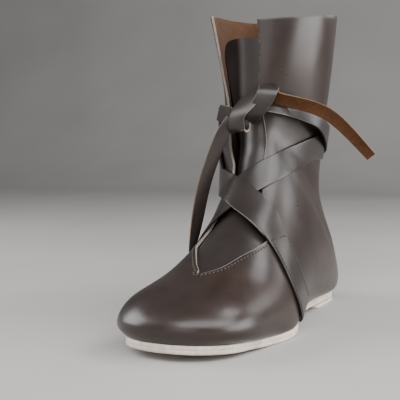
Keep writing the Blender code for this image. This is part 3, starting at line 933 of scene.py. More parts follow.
@dataclass
class Upper:
    """Vamp and quarters: one wall of leather, open at the collar, down the front and underneath."""

    finishes: Finishes
    half_columns: int = 96
    heel_columns: int = 10
    heel_bow: float = 2.6
    heel_width: float = 34.0
    swell: float = 0.5
    swell_rows: tuple[float, float] = (10.5, 12.5)
    swell_slant: tuple[float, float] = (5.1, 0.8)
    swell_climb: tuple[float, float] = (2.3, 1.0)
    collar_rows: tuple[float, float] = (12.6, 14.0)
    less_worn: float = 0.55
    less_worn_rows: tuple[float, float] = (5.6, 6.6)
    collar_share: tuple = (-1.0, -0.75, -0.50, -0.27, 0.05, 0.25, 0.55, 1.0)
    collar_rise: tuple = (0.0, 0.8, 4.6, 3.2, -3.7, -2.3, 0.0, 0.0)
    stretches: tuple = ((0.0, 2.0, 26), (2.0, 3.64, 24), (3.64, 3.9, 9), (3.9, 6.0, 36), (6.0, 9.0, 46),
                        (9.0, 10.0, 18), (10.0, 14.0, 66))

    def rows(self) -> np.ndarray:
        """Row numbers u from toe edge to collar."""
        return np.unique(np.round(np.concatenate([np.linspace(*s) for s in self.stretches]), 6))

    def shares(self, u: np.ndarray) -> np.ndarray:
        """Girth shares: the outer half from the opening to the back, then the inner half to the opening.

        Args:
            u: row numbers.

        Returns:
            One row of girth shares per row number.
        """
        outer, inner = (e[:, None] for e in opening_edges(u))
        half = np.linspace(0, 1, self.half_columns)[None]
        return np.concatenate([outer + (1 - outer) * half, -1 + (1 - inner) * half], axis=1)

    def relief(self, u: np.ndarray, v: np.ndarray) -> np.ndarray:
        """Soft lie of the leather: a slanting wave times a wave up the shaft, which only light shows.

        Args:
            u: one row number per row.
            v: girth shares, one row of them per u.

        Returns:
            Height of the swells in millimetres.
        """
        row = u[:, None] + 0 * v
        shaft = smooth(*self.swell_rows, row)
        (per_v, per_row), (climb, start) = self.swell_slant, self.swell_climb
        return self.swell * np.sin(per_v * v + per_row * row) * np.sin(climb * row + start) * shaft

    def heel_bridge(self, outer: np.ndarray, inner: np.ndarray) -> np.ndarray:
        """Points between the two feet of the wall behind the heel, bowed to the back in a soft bell.

        Args:
            outer: foot of the outer wall, one point per row.
            inner: foot of the inner wall, one point per row.

        Returns:
            Points from outer to inner for each row, the feet left out.
        """
        share = np.linspace(0, 1, self.heel_columns + 2)[1:-1][None, :, None]
        flat = outer[:, None] + (inner - outer)[:, None] * share
        bow = (1 - (2 * share[..., 0] - 1) ** 2) ** 2
        width = np.linalg.norm(inner - outer, axis=1)[:, None]
        flat[..., 1] += self.heel_bow * bow * np.minimum(width / self.heel_width, 1)
        return flat

    def build(self) -> bpy.types.Object:
        """The wall, with the front closed before the throat and the back closed above the sole.

        Returns:
            The upper.
        """
        u, tip = self.rows(), OPENING["throat_tip"][0]
        v = self.shares(u)
        points = SKIN.offset(u, v, self.relief(u, v))
        rise = np.interp(v, self.collar_share, self.collar_rise)
        points[..., 2] += smooth(*self.collar_rows, u)[:, None] * rise
        rows, columns = v.shape
        middle = self.half_columns
        index = np.arange(rows * columns).reshape(rows, columns)
        index[u >= ROW["heel_back"], middle] = index[u >= ROW["heel_back"], middle - 1]
        index[u <= tip, -1] = index[u <= tip, 0]
        wall = np.delete(cells_of(index), middle - 1, axis=1)

        span = (u >= ROW["heel_base"] - 1e-6) & (u < ROW["heel_back"] - 1e-6)
        bridge = self.heel_bridge(points[span, middle - 1], points[span, middle])
        inside = rows * columns + np.arange(bridge[..., 0].size).reshape(bridge.shape[:2])
        feet = index[span, middle - 1:middle], index[span, middle:middle + 1]
        strip = np.concatenate([feet[0], inside, feet[1]], axis=1)
        apex = np.full(strip.shape[1] - 1, index[np.flatnonzero(span)[-1] + 1, middle])
        fan = np.stack([strip[-1, :-1], strip[-1, 1:], apex], axis=1)

        quads = np.concatenate([wall.reshape(-1, 4), cells_of(strip).reshape(-1, 4)])
        used, new = np.unique(np.concatenate([quads.ravel(), fan.ravel()]), return_inverse=True)
        faces = face_list(new[:quads.size].reshape(-1, 4)) + face_list(new[quads.size:].reshape(-1, 3))
        everything = np.concatenate([points.reshape(-1, 3), bridge.reshape(-1, 3)])
        f = self.finishes
        rim = np.zeros((rows, columns))
        worn = 1 - self.less_worn * smooth(*self.less_worn_rows, u)
        rim[:, [0, -1]] = np.where(u <= tip, 0, worn)[:, None]
        rim = np.concatenate([rim.ravel(), np.zeros(inside.size)])
        piece = add_mesh("boot_upper", everything[used], faces, (f.vamp, f.lining, f.edge),
                         "upper", {"rim": rim[used]})
        return thicken(piece, WALL)


@dataclass
class Tongue:
    """Soft tongue inside the front opening, with slack folds below the knot."""

    finishes: Finishes
    columns: int = 60
    rows: int = 150
    thick: float = 1.8
    gap: float = 0.9
    folds: tuple = ((7.5, -0.30, 0.55, 0.5), (9.0, 0.15, 0.60, 0.6))
    fold_shares: tuple[float, float] = (0.30, 0.08)
    corner: tuple[float, float, float] = (12.70, 13.50, 0.20)
    corner_rows: int = 24
    sink: float = 2.5
    sink_shares: tuple[float, float] = (-0.10, -0.26)
    sink_rows: tuple[float, float] = (6.8, 8.2)
    # Painted shade on the tongue's inner side, where the medial quarter shades it: girth shares and rows over
    # which the mark rises to one.
    painted_shade_shares: tuple[float, float] = (-0.030, -0.085)
    painted_shade_rows: tuple[float, float] = (6.6, 7.6)

    def relief(self, u: np.ndarray, v: np.ndarray) -> np.ndarray:
        """Troughs across the tongue, soft bells along u, and an inner side that sinks away from the wall.

        Args:
            u: one row number per row.
            v: girth shares, one row of them per u.

        Returns:
            Height above the plain surface in millimetres.
        """
        row = u[:, None] + 0 * v
        sunk = 0 * v
        for at, slant, wide, deep in self.folds:
            sunk -= deep * np.exp(-((row - at - slant * v) / wide) ** 2)
        inner = smooth(*self.sink_shares, v) * smooth(*self.sink_rows, row)
        return sunk * smooth(*self.fold_shares, np.abs(v)) - self.sink * inner

    def build(self) -> bpy.types.Object:
        """The sheet under the wall, from the vamp to the top below the collar, its top corners round.

        Returns:
            The tongue.
        """
        values = table_of(TONGUE)
        start, end, flat = self.corner
        turn = np.sin(np.linspace(0, np.pi / 2, self.corner_rows))[1:]
        u = np.concatenate([np.linspace(values[0, 0], start, self.rows), start + (end - start) * turn])
        outer, inner = edge_shares(TONGUE, np.minimum(u, start))
        close = np.sqrt(np.clip(1 - (np.maximum(u - start, 0) / (end - start)) ** 2, 0, 1))
        outer, inner = outer * (flat + (1 - flat) * close), inner * (flat + (1 - flat) * close)
        share = np.linspace(0, 1, self.columns)[None]
        v = outer[:, None] - (outer + inner)[:, None] * share
        points = TONGUE_SKIN.offset(u, v, self.relief(u, v) - WALL - self.gap)
        f = self.finishes
        # Mark of painted shade: near one on the inner side of the tongue above the instep.
        painted_shade = smooth(*self.painted_shade_shares, v) * smooth(*self.painted_shade_rows, u)[:, None]
        piece = add_mesh("boot_tongue", points, grid_faces(*v.shape, turned=True),
                         (f.tongue, f.lining, f.edge), "tongue", {"painted_shade": painted_shade})
        return thicken(piece, self.thick)


@dataclass
class Stitches:
    """A row of thread stitches half sunk in the leather, with a near-black patch between each two that paints
    the shade in the stitch hole.
    """

    finishes: Finishes
    pitch: float = 3.4
    stitch: tuple[float, float, float] = (2.0, 0.80, 0.80)
    hole_shade: tuple[float, float, float] = (1.7, 1.30, 0.44)
    slant: float = math.radians(28)
    stand: float = 0.10
    ahead: float = 0.4
    rings: int = 5
    around: int = 7
    last_ring: float = 0.46
    blunt: float = 0.6

    def one(self, size: tuple[float, float, float]) -> np.ndarray:
        """A grain along x: rings whose radius is a power of the cosine along it.

        Args:
            size: length, width and height in millimetres.

        Returns:
            Its points, ring by ring.
        """
        a = np.linspace(-self.last_ring, self.last_ring, self.rings)[:, None] * np.pi
        b = np.linspace(0, 2 * np.pi, self.around, endpoint=False)[None]
        round_b = np.cos(a) ** self.blunt
        grain = np.stack([np.sin(a) + 0 * b, round_b * np.cos(b), round_b * np.sin(b)], axis=2)
        return (grain * size / 2).reshape(-1, 3)

    def build(self, name: str, lines: list[tuple[np.ndarray, np.ndarray]]) -> bpy.types.Object:
        """Stitches along lines of points with their normals.

        Args:
            name: name of the piece.
            lines: (points, normals) of each row of stitches.

        Returns:
            All stitches as one object.
        """
        every = [[], []]
        for k, (points, normals) in ((k, line) for line in lines for k in (0, 1)):
            run = np.concatenate([[0], np.cumsum(np.linalg.norm(np.diff(points, axis=0), axis=1))])
            at = np.arange(self.pitch * (k + 1) / 2, run[-1], self.pitch)
            centre = np.stack([np.interp(at, run, c) for c in points.T], axis=1)
            up = unit(np.stack([np.interp(at, run, c) for c in normals.T], axis=1))
            ahead = np.stack([np.interp(at + self.ahead, run, c) for c in points.T], axis=1) - centre
            ahead = unit(ahead - (ahead * up).sum(1, keepdims=True) * up)
            side = np.cross(up, ahead)
            along_it = ahead * math.cos(self.slant) + side * math.sin(self.slant)
            axes = np.stack([along_it, np.cross(up, along_it), up], axis=1)
            shape = self.one((self.stitch, self.hole_shade)[k])
            every[k].append(centre[:, None] + self.stand * up[:, None] + shape[None] @ axes)
        made = np.concatenate(every[0] + every[1])
        ring = grid_faces(self.rings, self.around, closed=True)
        last = (self.rings - 1) * self.around
        ring += [tuple(range(self.around))[::-1], tuple(range(last, last + self.around))]
        faces = [tuple(c + k * len(shape) for c in f) for k in range(len(made)) for f in ring]
        piece = add_mesh(name, made, faces, (self.finishes.thread, self.finishes.hole_shade))
        # Faces of the painted hole shade take the second material.
        hole_shades = np.arange(len(faces)) >= sum(map(len, every[0])) * len(ring)
        piece.data.polygons.foreach_set("material_index", hole_shades.astype(np.int32))
        return piece


@dataclass
class SkinStrap:
    """Strap that lies on the skin: sewn up the side, over the instep, round the ankle to the knot.

    pale says between which rows of its table the cut edge keeps its own pale colour; elsewhere the edge is
    near black as painted shade of the gap along it. roll says from which row to which it turns over toward
    the knot, and by how many degrees.
    """

    finishes: Finishes
    name: str
    node: str
    table: dict
    per_row: int = 4
    coarse_across: int = 9
    fine_along: int = 5
    fine_across: int = 23
    fits: int = 6
    crown: float = 0.25
    seam_end: float = 3.70
    seam_inset: float = 0.10
    seam_stand: float = 0.15
    pale: tuple[float, float] = (0.0, 0.0)
    pale_fade: tuple[float, float] = (0.3, 0.1)
    pale_across: tuple[float, float] = (0.2, 0.6)
    roll: tuple[float, float, float] = (0.0, 1.0, 0.0)

    def paths(self) -> tuple[np.ndarray, np.ndarray, np.ndarray, np.ndarray]:
        """Where the strap lies: its middle line drawn straight, then points square to it, fitted to the skin.

        Returns:
            Parameters u and v on a grid along and across the strap, its lift, and the table row at each step.
        """
        values = table_of(self.table)
        count = self.per_row * (len(values) - 1) + 1
        u, v, width, lift, _ = along(values, count).T
        row = np.arange(count) / self.per_row
        u, v = SKIN.tightened(u, v, np.interp(row, np.arange(len(values)), values[:, 4]))
        middle = SKIN.points(u, v)
        rise, turn = (s[:, 0] for s in SKIN.slopes(u, v[:, None]))
        sideways = unit(np.cross(np.cross(turn, rise), np.gradient(middle, axis=0)))
        share = np.linspace(-0.5, 0.5, self.coarse_across)
        want = middle[:, None] + sideways[:, None] * (width[:, None] * share)[..., None]
        uu, vv = np.repeat(u, len(share)), np.repeat(v, len(share))
        for _ in range(self.fits):
            uu, vv = SKIN.moved(uu, vv, want.reshape(-1, 3) - SKIN.points(uu, vv))
        fine = (count - 1) * self.fine_along + 1
        grids = [along(along(g.reshape(count, -1), fine).T, self.fine_across).T for g in (uu, vv)]
        rows = np.linspace(0, row[-1], fine)
        return *grids, np.maximum(np.interp(rows, row, lift), GAP), rows

    def build(self) -> bpy.types.Object:
        """The strap as a sheet whose grain side is its thickness above the lift, crowned as a fourth power.

        Returns:
            The strap.
        """
        u, v, lift, rows = self.paths()
        self.u, self.v, self.lift, self.rows = u, v, lift, rows
        across = np.linspace(-1, 1, u.shape[1])[None]
        height = (lift[:, None] + STRAP_THICK + self.crown * (1 - across ** 4)).ravel()
        points = SKIN.offset(u.ravel(), v.reshape(-1, 1), height[:, None]).reshape(*u.shape, 3)
        points = self.rolled(points, rows)
        # Painted shade on the cut edge: near black all along, except the lit part of one edge between the
        # pale rows.
        (start, end), (before, after) = self.pale, self.pale_fade
        lit_edge = smooth(start - before, start + after, rows) * smooth(end + before, end - before, rows)
        edge_shade = 1 - lit_edge[:, None] * smooth(*self.pale_across, across)
        f = self.finishes
        piece = add_mesh(self.name, points, grid_faces(*u.shape, turned=True),
                         (f.strap, f.suede, f.strap_edge), self.node, {"edge_shade": edge_shade})
        return thicken(piece, STRAP_THICK, STRAP_ROUNDING)

    def rolled(self, points: np.ndarray, rows: np.ndarray) -> np.ndarray:
        """Turns the strap about its first long edge toward the knot, so that its other edge stands off.

        Args:
            points: the strap's points, along and across it.
            rows: the table row at each step along it.

        Returns:
            The turned points.
        """
        start, end, angle = self.roll
        turn = math.radians(angle) * smooth(start, end, rows)[:, None, None]
        hinge = points[:, :1]
        across = points - hinge
        reach = np.linalg.norm(across, axis=2, keepdims=True)
        outward = unit(np.cross(np.gradient(hinge[:, 0], axis=0), unit(across[:, -1])))[:, None]
        return hinge + across * np.cos(turn) + outward * reach * np.sin(turn)

    def seams(self) -> list[tuple[np.ndarray, np.ndarray]]:
        """Lines of the sewn base: its two long edges and the row across below the free strap.

        Returns:
            Points and normals of each line.
        """
        found = []
        base = self.rows <= self.seam_end
        columns = np.array([self.seam_inset, 1 - self.seam_inset]) * (self.u.shape[1] - 1)
        for column in np.round(columns).astype(int):
            found.append((self.u[base, column], self.v[base, column], self.lift[base]))
        k = int(np.flatnonzero(base)[-1])
        inner = slice(int(columns[0]), int(columns[1]) + 1)
        found.append((self.u[k, inner], self.v[k, inner], np.full(len(self.u[k, inner]), self.lift[k])))
        lines = []
        for u, v, lift in found:
            normal = SKIN.normals(u, v[:, None])[:, 0]
            stand = (lift + STRAP_THICK + self.seam_stand)[:, None]
            lines.append((SKIN.points(u, v) + normal * stand, normal))
        return lines


@dataclass
class KnotFrame:
    """Axes at the knot: right along the leg's front, up, and out of the leg toward the outer front."""

    middle: np.ndarray = field(default_factory=lambda: np.array([-9.4, 8.5, 178.0]))
    turn: float = math.radians(26.3)

    def axes(self) -> np.ndarray:
        """Rows: right, out, up."""
        c, s = math.cos(self.turn), math.sin(self.turn)
        return np.array([[c, s, 0.0], [s, -c, 0.0], [0.0, 0.0, 1.0]])

    def place(self, local: np.ndarray) -> np.ndarray:
        """Points from (right, out, up) to the boot's frame."""
        return self.middle + local @ self.axes()


@dataclass
class Ribbon:
    """Free piece of strap: a flat profile carried along a smooth path with a given facing.

    A key row is right, out, up of the middle line, width, and the way the grain side faces in the same
    axes. Rows are joined by a natural cubic; facing is made square to the path. The first and the last
    long edge may be worn pale, up to a share of the length.
    """

    name: str
    node: str
    keys: dict[str, tuple]
    count: int
    columns: int = 15
    cup: float = 0.6
    worn: tuple[float, float, float] = (0.0, 0.0, 1.1)
    worn_fade: float = 0.03

    def frames(self) -> tuple[np.ndarray, np.ndarray, np.ndarray, np.ndarray]:
        """The path of the profile.

        Returns:
            Middle line, sideways and facing directions, and width along the ribbon.
        """
        values = along(table_of(self.keys), self.count)
        place = KnotFrame()
        middle = place.place(values[:, :3])
        face = unit(values[:, 4:7]) @ place.axes()
        forward = unit(np.gradient(middle, axis=0))
        sideways = unit(np.cross(forward, face))
        return middle, sideways, np.cross(sideways, forward), values[:, 3]

    def build(self, finishes: tuple[bpy.types.Material, ...]) -> tuple[bpy.types.Object, np.ndarray]:
        """The ribbon, cupped as the square of the way from its middle line.

        Args:
            finishes: grain side, flesh side and cut edge.

        Returns:
            The piece, and its middle line in millimetres.
        """
        middle, sideways, face, width = self.frames()
        share = np.linspace(-0.5, 0.5, self.columns)
        points = middle[:, None] + sideways[:, None] * (width[:, None] * share)[..., None]
        points = points + face[:, None] * (STRAP_THICK / 2 - self.cup * (2 * share) ** 2)[None, :, None]
        rim = np.zeros(points.shape[:2])
        first, last, until = self.worn
        near = smooth(until + self.worn_fade, until - self.worn_fade, np.linspace(0, 1, len(rim)))
        rim[:, 0], rim[:, -1] = first * near, last * near
        piece = add_mesh(self.name, points, grid_faces(*points.shape[:2]), finishes,
                         self.node, {"rim": rim})
        return thicken(piece, STRAP_THICK, STRAP_ROUNDING), middle


@dataclass
class Knot:
    """The tied strap ends: wrap and flap in front of the shaft, the loop and the two free ends."""

    finishes: Finishes
    wrap: dict = field(default_factory=lambda: {
        "tuck":  (6.2, 1.0, -8.5, 11.5, 0.10, -1.00, 0.10),
        "curl":  (4.8, 3.0, -14.2, 12.5, 0.10, -0.60, -0.80),
        "chin":  (0.9, 6.5, -16.0, 13.5, 0.05, 0.35, -0.95),
        "low":   (-0.2, 9.0, -12.3, 13.5, 0.00, 0.93, -0.35),
        "front": (-0.3, 10.0, -6.5, 13.0, -0.05, 1.00, 0.05),
        "brow":  (1.6, 9.2, -0.4, 12.5, -0.15, 0.95, 0.25),
        "rise":  (7.6, 6.8, 6.5, 13.5, -0.30, 0.88, 0.36),
        "high":  (16.5, 4.5, 14.1, 14.0, -0.30, 0.85, 0.42),
        "fold":  (24.9, 3.0, 19.0, 14.0, -0.20, 0.80, 0.55),
    })
    flap: dict = field(default_factory=lambda: {
        "leg":   (-15.3, 4.2, 0.3, 14.2, -0.05, 0.94, -0.34),
        "bend":  (-11.0, 5.5, -1.2, 15.0, -0.02, 0.94, -0.32),
        "face":  (-6.6, 6.3, -2.4, 14.5, 0.05, 0.96, -0.24),
        "under": (-1.2, 6.4, -3.4, 13.0, 0.10, 1.00, 0.00),
    })
    outer_end: dict = field(default_factory=lambda: {
        "knot":  (10.2, 1.5, -7.3, 12.5, 0.00, 0.90, -0.45),
        "swell": (15.6, 6.8, -0.4, 13.5, 0.00, 0.99, 0.05),
        "front": (21.1, 10.0, 7.8, 15.0, 0.12, 0.93, 0.38),
        "high":  (24.9, 10.6, 15.0, 16.0, 0.03, 0.87, 0.50),
        "brow":  (27.2, 7.8, 20.2, 16.5, 0.05, 0.55, 0.83),
        "over":  (28.6, 3.4, 20.2, 15.0, 0.08, -0.35, 0.93),
        "back":  (30.8, 0.8, 14.0, 12.5, 0.08, -0.88, 0.45),
        "leave": (38.5, 1.0, 10.6, 11.0, 0.08, -0.90, 0.40),
        "side":  (54.5, 3.0, 6.2, 11.0, 0.08, -0.95, 0.28),
        "out":   (73.6, 3.0, -0.8, 11.0, 0.10, -0.98, 0.15),
        "droop": (92.1, 0.0, -15.0, 10.5, 0.20, -0.95, 0.15),
        "end":   (114.8, -4.0, -39.0, 9.0, 0.30, -0.90, 0.10),
    })
    front_end: dict = field(default_factory=lambda: {
        "knot":  (-4.0, 6.6, -5.6, 10.5, 0.10, 1.00, 0.15),
        "fall":  (-12.6, 6.4, -19.8, 12.0, 0.40, 0.90, 0.12),
        "mid":   (-20.9, 4.4, -39.9, 12.5, 0.50, 0.85, 0.05),
        "low":   (-28.2, 2.6, -62.5, 12.5, 0.50, 0.85, 0.02),
        "lower": (-33.1, 1.2, -85.1, 12.0, 0.50, 0.85, 0.00),
        "tip":   (-36.6, 0.2, -103.5, 9.5, 0.50, 0.85, 0.00),
        "end":   (-39.5, -0.4, -118.4, 6.0, 0.50, 0.85, 0.00),
    })

    def build(self) -> None:
        """All pieces of the knot; the length of each free end that shows is logged."""
        f = self.finishes
        finish = (f.strap, f.suede, f.tail_edge)
        wrap = Ribbon("knot_wrap", "knot", self.wrap, 130, worn=(0.1, 0.75, 1.1))
        wrap.build((f.strap, f.strap, f.edge))
        Ribbon("knot_flap", "", self.flap, 40).build(finish)
        for node, keys, width, worn in (("tail_outer", self.outer_end, 0.0125, (0.8, 0.6, 0.45)),
                                        ("tail_front", self.front_end, 0.0115, (0.0, 0.7, 1.1))):
            piece, line = Ribbon("strap_" + node, node, keys, 170, worn=worn).build(finish)
            length = float(np.linalg.norm(np.diff(line, axis=0), axis=1).sum()) * MM
            LOG.info("%s: %.1f mm long", piece.name, length / MM)


@dataclass
class Sole:
    """Cream outsole with toe spring and arch, and the low lift under the heel."""

    finishes: Finishes
    thick: float = 6.5
    margin: float = 0.8
    lift_length: float = 60.0
    lift_overlap: float = 0.5
    waist_start: float = 75.0
    heel_round: float = 4.0
    heel_turn: tuple[float, float, int] = (0.06, 0.985, 14)
    toe_shares: tuple[float, float, int] = (0.02, 0.98, 34)
    toe_crowding: float = 1.3
    side_stretches: tuple = ((0, 4, 40), (4, 8, 40), (8, 9, 18))
    across: int = 12
    profile: tuple = ((0.9, 0.0), (0.35, 0.05), (0.05, 0.16), (0.0, 0.42), (0.18, 0.48), (0.18, 0.52),
                      (0.0, 0.58), (0.0, 0.86), (0.25, 0.95), (0.8, 1.0))

    def stations(self) -> tuple[np.ndarray, np.ndarray, np.ndarray]:
        """Foot of the wall from toe tip to heel, closed behind by a half ellipse.

        Returns:
            Plan lines (x, s) of the outer and of the inner side, and the height of the foot.
        """
        toe_v = np.linspace(*self.toe_shares) ** self.toe_crowding
        side_u = np.unique(np.concatenate([np.linspace(*s) for s in self.side_stretches]))
        u = np.concatenate([np.zeros(len(toe_v)), side_u])
        v = np.concatenate([toe_v, np.ones(len(side_u))])
        outer, inner = SKIN.points(u, v), SKIN.points(u, -v)
        s, middle = HEEL_Y - BOX_MIDDLE[1] - outer[:, 1], (outer[-1, 0] + inner[-1, 0]) / 2
        turn = np.sin(np.linspace(*self.heel_turn) * np.pi / 2)[:, None]
        sides = []
        for side in (outer, inner):
            line = np.stack([side[:, 0], s], 1)
            end = [middle, s[-1]] + [line[-1, 0] - middle, -self.heel_round] * np.hstack(
                [np.sqrt(1 - turn ** 2), turn])
            sides.append(np.concatenate([line, end]))
        return *sides, np.append(outer[:, 2], outer[-1, 2].repeat(len(turn)))

    def widened(self, line: np.ndarray, margin: float, side: Side) -> np.ndarray:
        """A plan line moved sideways.

        Args:
            line: (x, s) points from toe to heel.
            margin: how far it moves, outward if positive.
            side: side of the foot that it belongs to.

        Returns:
            The moved points.
        """
        step = np.gradient(line, axis=0)
        normal = unit(np.stack([-step[:, 1], step[:, 0]], 1) * side.value)
        return line + margin * normal

    def plate(self, node: str, lines: tuple[np.ndarray, ...], top: np.ndarray, low: np.ndarray,
              finish: bpy.types.Material) -> bpy.types.Object:
        """A leather plate: each station is a closed loop of top, outer edge, bottom and inner edge.

        Args:
            node: solid of the frame that it stands for.
            lines: plan lines (x, s) of the outer and inner side, toe to heel.
            top: height of the top at each station.
            low: height of the bottom at each station.
            finish: its material.

        Returns:
            The closed plate.
        """
        rim = np.array(self.profile)
        edges, layers = [], []
        for line, side, profile in zip(lines, (Side.OUTER, Side.INNER), (rim[::-1], rim)):
            ring = np.stack([self.widened(line, -inset, side) for inset, _ in profile], axis=1)
            height = low[:, None] + (top - low)[:, None] * profile[None, :, 1]
            edges.append(np.concatenate([ring, height[..., None]], axis=2))
            layers.append(profile[:, 1])
        share = np.linspace(0, 1, self.across)[1:-1][None, :, None]
        bottom = edges[0][:, -1:] + (edges[1][:, :1] - edges[0][:, -1:]) * share
        upper = edges[1][:, -1:] + (edges[0][:, :1] - edges[1][:, -1:]) * share
        loop = np.concatenate([edges[0], bottom, edges[1], upper], axis=1)
        flat = np.zeros(self.across - 2)
        layer = np.concatenate([layers[0], flat, layers[1], flat + 1.0])
        points = np.stack([loop[..., 0], HEEL_Y - BOX_MIDDLE[1] - loop[..., 1], loop[..., 2]], axis=2)
        rows, columns = points.shape[:2]
        faces = grid_faces(rows, columns, closed=True, turned=True)
        last = (rows - 1) * columns
        faces += [tuple(range(columns)), tuple(range(last, last + columns))[::-1]]
        marks = {"layer": np.broadcast_to(layer, (rows, columns))}
        return add_mesh("boot_" + node, points, faces, (finish,), node, marks)

    def build(self) -> None:
        """Outsole and heel lift in place of their solids; the insole takes the lining's finish."""
        outer, inner, foot_z = self.stations()
        s = outer[:, 1]
        top = foot_z - GAP
        under = top - self.thick
        low = np.where(s < self.waist_start, under, np.maximum(under, 0))
        lines = self.widened(outer, self.margin, Side.OUTER), self.widened(inner, self.margin, Side.INNER)
        self.plate("outsole", lines, top, low, self.finishes.sole)
        cut = s < self.lift_length + self.lift_overlap
        heel = tuple(line[cut] for line in lines)
        self.plate("heel_lift", heel, low[cut] - GAP, 0 * low[cut], self.finishes.lift)
        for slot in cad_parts["insole"].material_slots:
            slot.material = self.finishes.lining


@dataclass
class Seams:
    """Rows of stitches: round the throat and on both sewn strap bases."""

    finishes: Finishes
    straps: tuple[SkinStrap, ...]
    inset: float = 3.0
    reach: float = 1.9
    steps: int = 70
    fits: int = 4

    def throat(self) -> tuple[np.ndarray, np.ndarray]:
        """A line a little outside the throat's edge, from the outer to the inner corner.

        Returns:
            Points and normals of the line.
        """
        u = OPENING["throat_tip"][0] + self.reach * np.linspace(0, 1, self.steps) ** 2
        outer, inner = opening_edges(u)
        u = np.concatenate([u[::-1], u])
        v = np.concatenate([outer[::-1], -inner])
        points = SKIN.points(u, v)
        away = unit(np.cross(SKIN.normals(u, v[:, None])[:, 0], np.gradient(points, axis=0)))
        uu, vv = u.copy(), v.copy()
        for _ in range(self.fits):
            uu, vv = SKIN.moved(uu, vv, points + away * self.inset - SKIN.points(uu, vv))
        return SKIN.points(uu, vv), SKIN.normals(uu, vv[:, None])[:, 0]

    def build(self) -> None:
        """One piece of stitches for the throat and one for each strap base."""
        Stitches(self.finishes).build("throat_stitches", [self.throat()])
        for strap in self.straps:
            Stitches(self.finishes).build(strap.name + "_stitches", strap.seams())


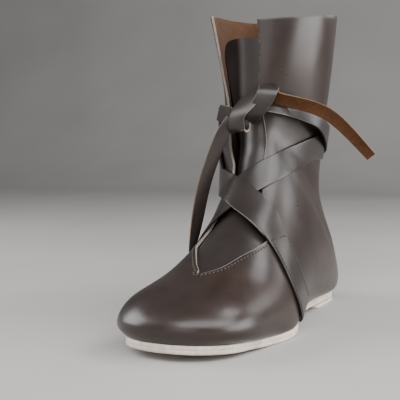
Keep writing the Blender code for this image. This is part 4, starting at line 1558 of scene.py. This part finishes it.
@dataclass
class Studio:
    """Pale floor, soft lights and the camera at the photograph's angle."""

    azimuth: float = math.radians(26.28)
    elevation: float = math.radians(4.24)
    roll: float = math.radians(-0.86)
    distance: float = 0.7583
    target: tuple[float, float, float] = (-0.04027, -0.00046, 0.1040)
    focal: float = 885.2
    picture: float = 400.0
    sensor: float = 36.0
    clip: tuple[float, float] = (0.01, 50.0)
    floor_reach: tuple[float, float] = (-3.0, 4.0)
    floor_clouds: tuple[float, float] = (3.0, 3.0)
    floor_tones: tuple = ((0.41, 0.395, 0.38), (0.46, 0.445, 0.43))
    tone_reach: tuple[float, float] = (0.3, 0.7)
    wall_bend: float = 0.8
    bend_steps: int = 24
    wall_start: float = 1.6
    wall_top: float = 3.0
    light_middle: tuple[float, float, float] = (0.0, 0.0, 0.1)
    light_reach: float = 1.3
    sky: tuple[float, float, float, float] = (0.80, 0.82, 0.85, 1.0)
    sky_strength: float = 0.35
    lights: dict = field(default_factory=lambda: {
        "front":  (34.0, 43.0, (1.7, 0.65), 20.0),
        "left":   (-70.0, 21.0, (0.9, 0.85), 17.0),
        "right":  (104.0, 9.0, (1.2, 0.55), 14.0),
        "behind": (119.0, 50.0, (0.50, 0.42), 4.9),
        "corner": (86.0, 33.0, (0.60, 0.45), 6.0),
        "fill":   (8.0, 8.0, (0.90, 0.70), 2.8),
        "low":    (150.0, 22.0, (0.55, 0.40), 1.8),
    })

    def camera(self) -> None:
        """A camera that looks at the target from the given angle, rolled about its own axis."""
        a, e, r = self.azimuth, self.elevation, self.roll
        back = Vector((math.sin(a) * math.cos(e), -math.cos(a) * math.cos(e), math.sin(e)))
        right = Vector((0, 0, 1)).cross(back).normalized()
        up = back.cross(right)
        x, y = right * math.cos(r) + up * math.sin(r), up * math.cos(r) - right * math.sin(r)
        data = bpy.data.cameras.new("camera")
        data.sensor_width = self.sensor
        data.lens = self.sensor * self.focal / self.picture
        data.clip_start, data.clip_end = self.clip
        made = bpy.data.objects.new("camera", data)
        made.matrix_world = Matrix((x, y, back)).transposed().to_4x4()
        made.location = Vector(self.target) + back * self.distance
        bpy.context.scene.collection.objects.link(made)
        bpy.context.scene.camera = made

    def floor(self) -> None:
        """A pale sweep: flat floor that turns up into a far wall, y and z as functions of one angle."""
        near, side = self.floor_reach
        start, r = self.wall_start, self.wall_bend
        bend = np.linspace(0, np.pi / 2, self.bend_steps)
        y = np.concatenate([[near], start + r * np.sin(bend), [start + r]])
        z = np.concatenate([[0.0], r - r * np.cos(bend), [self.wall_top]])
        x = np.array([-side, side])
        points = np.stack([np.repeat(x[None], len(y), 0), np.repeat(y[:, None], 2, 1),
                           np.repeat(z[:, None], 2, 1)], axis=2)
        mesh = bpy.data.meshes.new("floor")
        mesh.from_pydata(points.reshape(-1, 3).tolist(), [], grid_faces(len(y), 2))
        mesh.polygons.foreach_set("use_smooth", np.ones(len(mesh.polygons), bool))
        g = Graph("pale_floor")
        g.colour(g.ramp(g.noise(*self.floor_clouds), self.tone_reach, *self.floor_tones))
        g.constants(Roughness=0.8, Specular_IOR_Level=0.2)
        mesh.materials.append(g.material)
        made = bpy.data.objects.new("floor", mesh)
        bpy.context.scene.collection.objects.link(made)

    def light(self, name: str, azimuth: float, elevation: float, size: tuple[float, float],
              power: float) -> None:
        """A soft rectangular light that looks at the boot.

        Args:
            name: name of the light.
            azimuth: angle from the toe's way toward the outer side, in degrees.
            elevation: angle above the floor, in degrees.
            size: width and height in metres.
            power: power in watts.
        """
        a, e = math.radians(azimuth), math.radians(elevation)
        way = Vector((math.sin(a) * math.cos(e), -math.cos(a) * math.cos(e), math.sin(e)))
        data = bpy.data.lights.new(name, "AREA")
        data.shape, data.size, data.size_y, data.energy = "RECTANGLE", *size, power
        made = bpy.data.objects.new(name, data)
        made.location = Vector(self.light_middle) + way * self.light_reach
        made.rotation_euler = (-way).to_track_quat("-Z", "Y").to_euler()
        bpy.context.scene.collection.objects.link(made)

    def build(self) -> None:
        """Camera, floor, sky and lights."""
        self.camera()
        self.floor()
        world = bpy.data.worlds.new("sky")
        world.use_nodes = True
        sky = world.node_tree.nodes["Background"]
        sky.inputs["Color"].default_value = self.sky
        sky.inputs["Strength"].default_value = self.sky_strength
        bpy.context.scene.world = world
        for name, (azimuth, elevation, size, power) in self.lights.items():
            self.light(name, azimuth, elevation, size, power)


def main() -> None:
    """Builds the boot's pieces in order."""
    logging.basicConfig(level=logging.INFO, format="%(name)s %(message)s")
    Studio().build()
    finishes = Finishes()
    Knot(finishes).build()
    Sole(finishes).build()
    Upper(finishes).build()
    Tongue(finishes).build()
    straps = (SkinStrap(finishes, "boot_strap_outer", "strap_outer", STRAP_OUTER, pale=(4.3, 7.5),
                        roll=(13.4, 15.0, 34.0)),
              SkinStrap(finishes, "boot_strap_inner", "strap_inner", STRAP_INNER))
    for strap in straps:
        strap.build()
    Seams(finishes, straps).build()


if __name__ == "__main__":
    main()
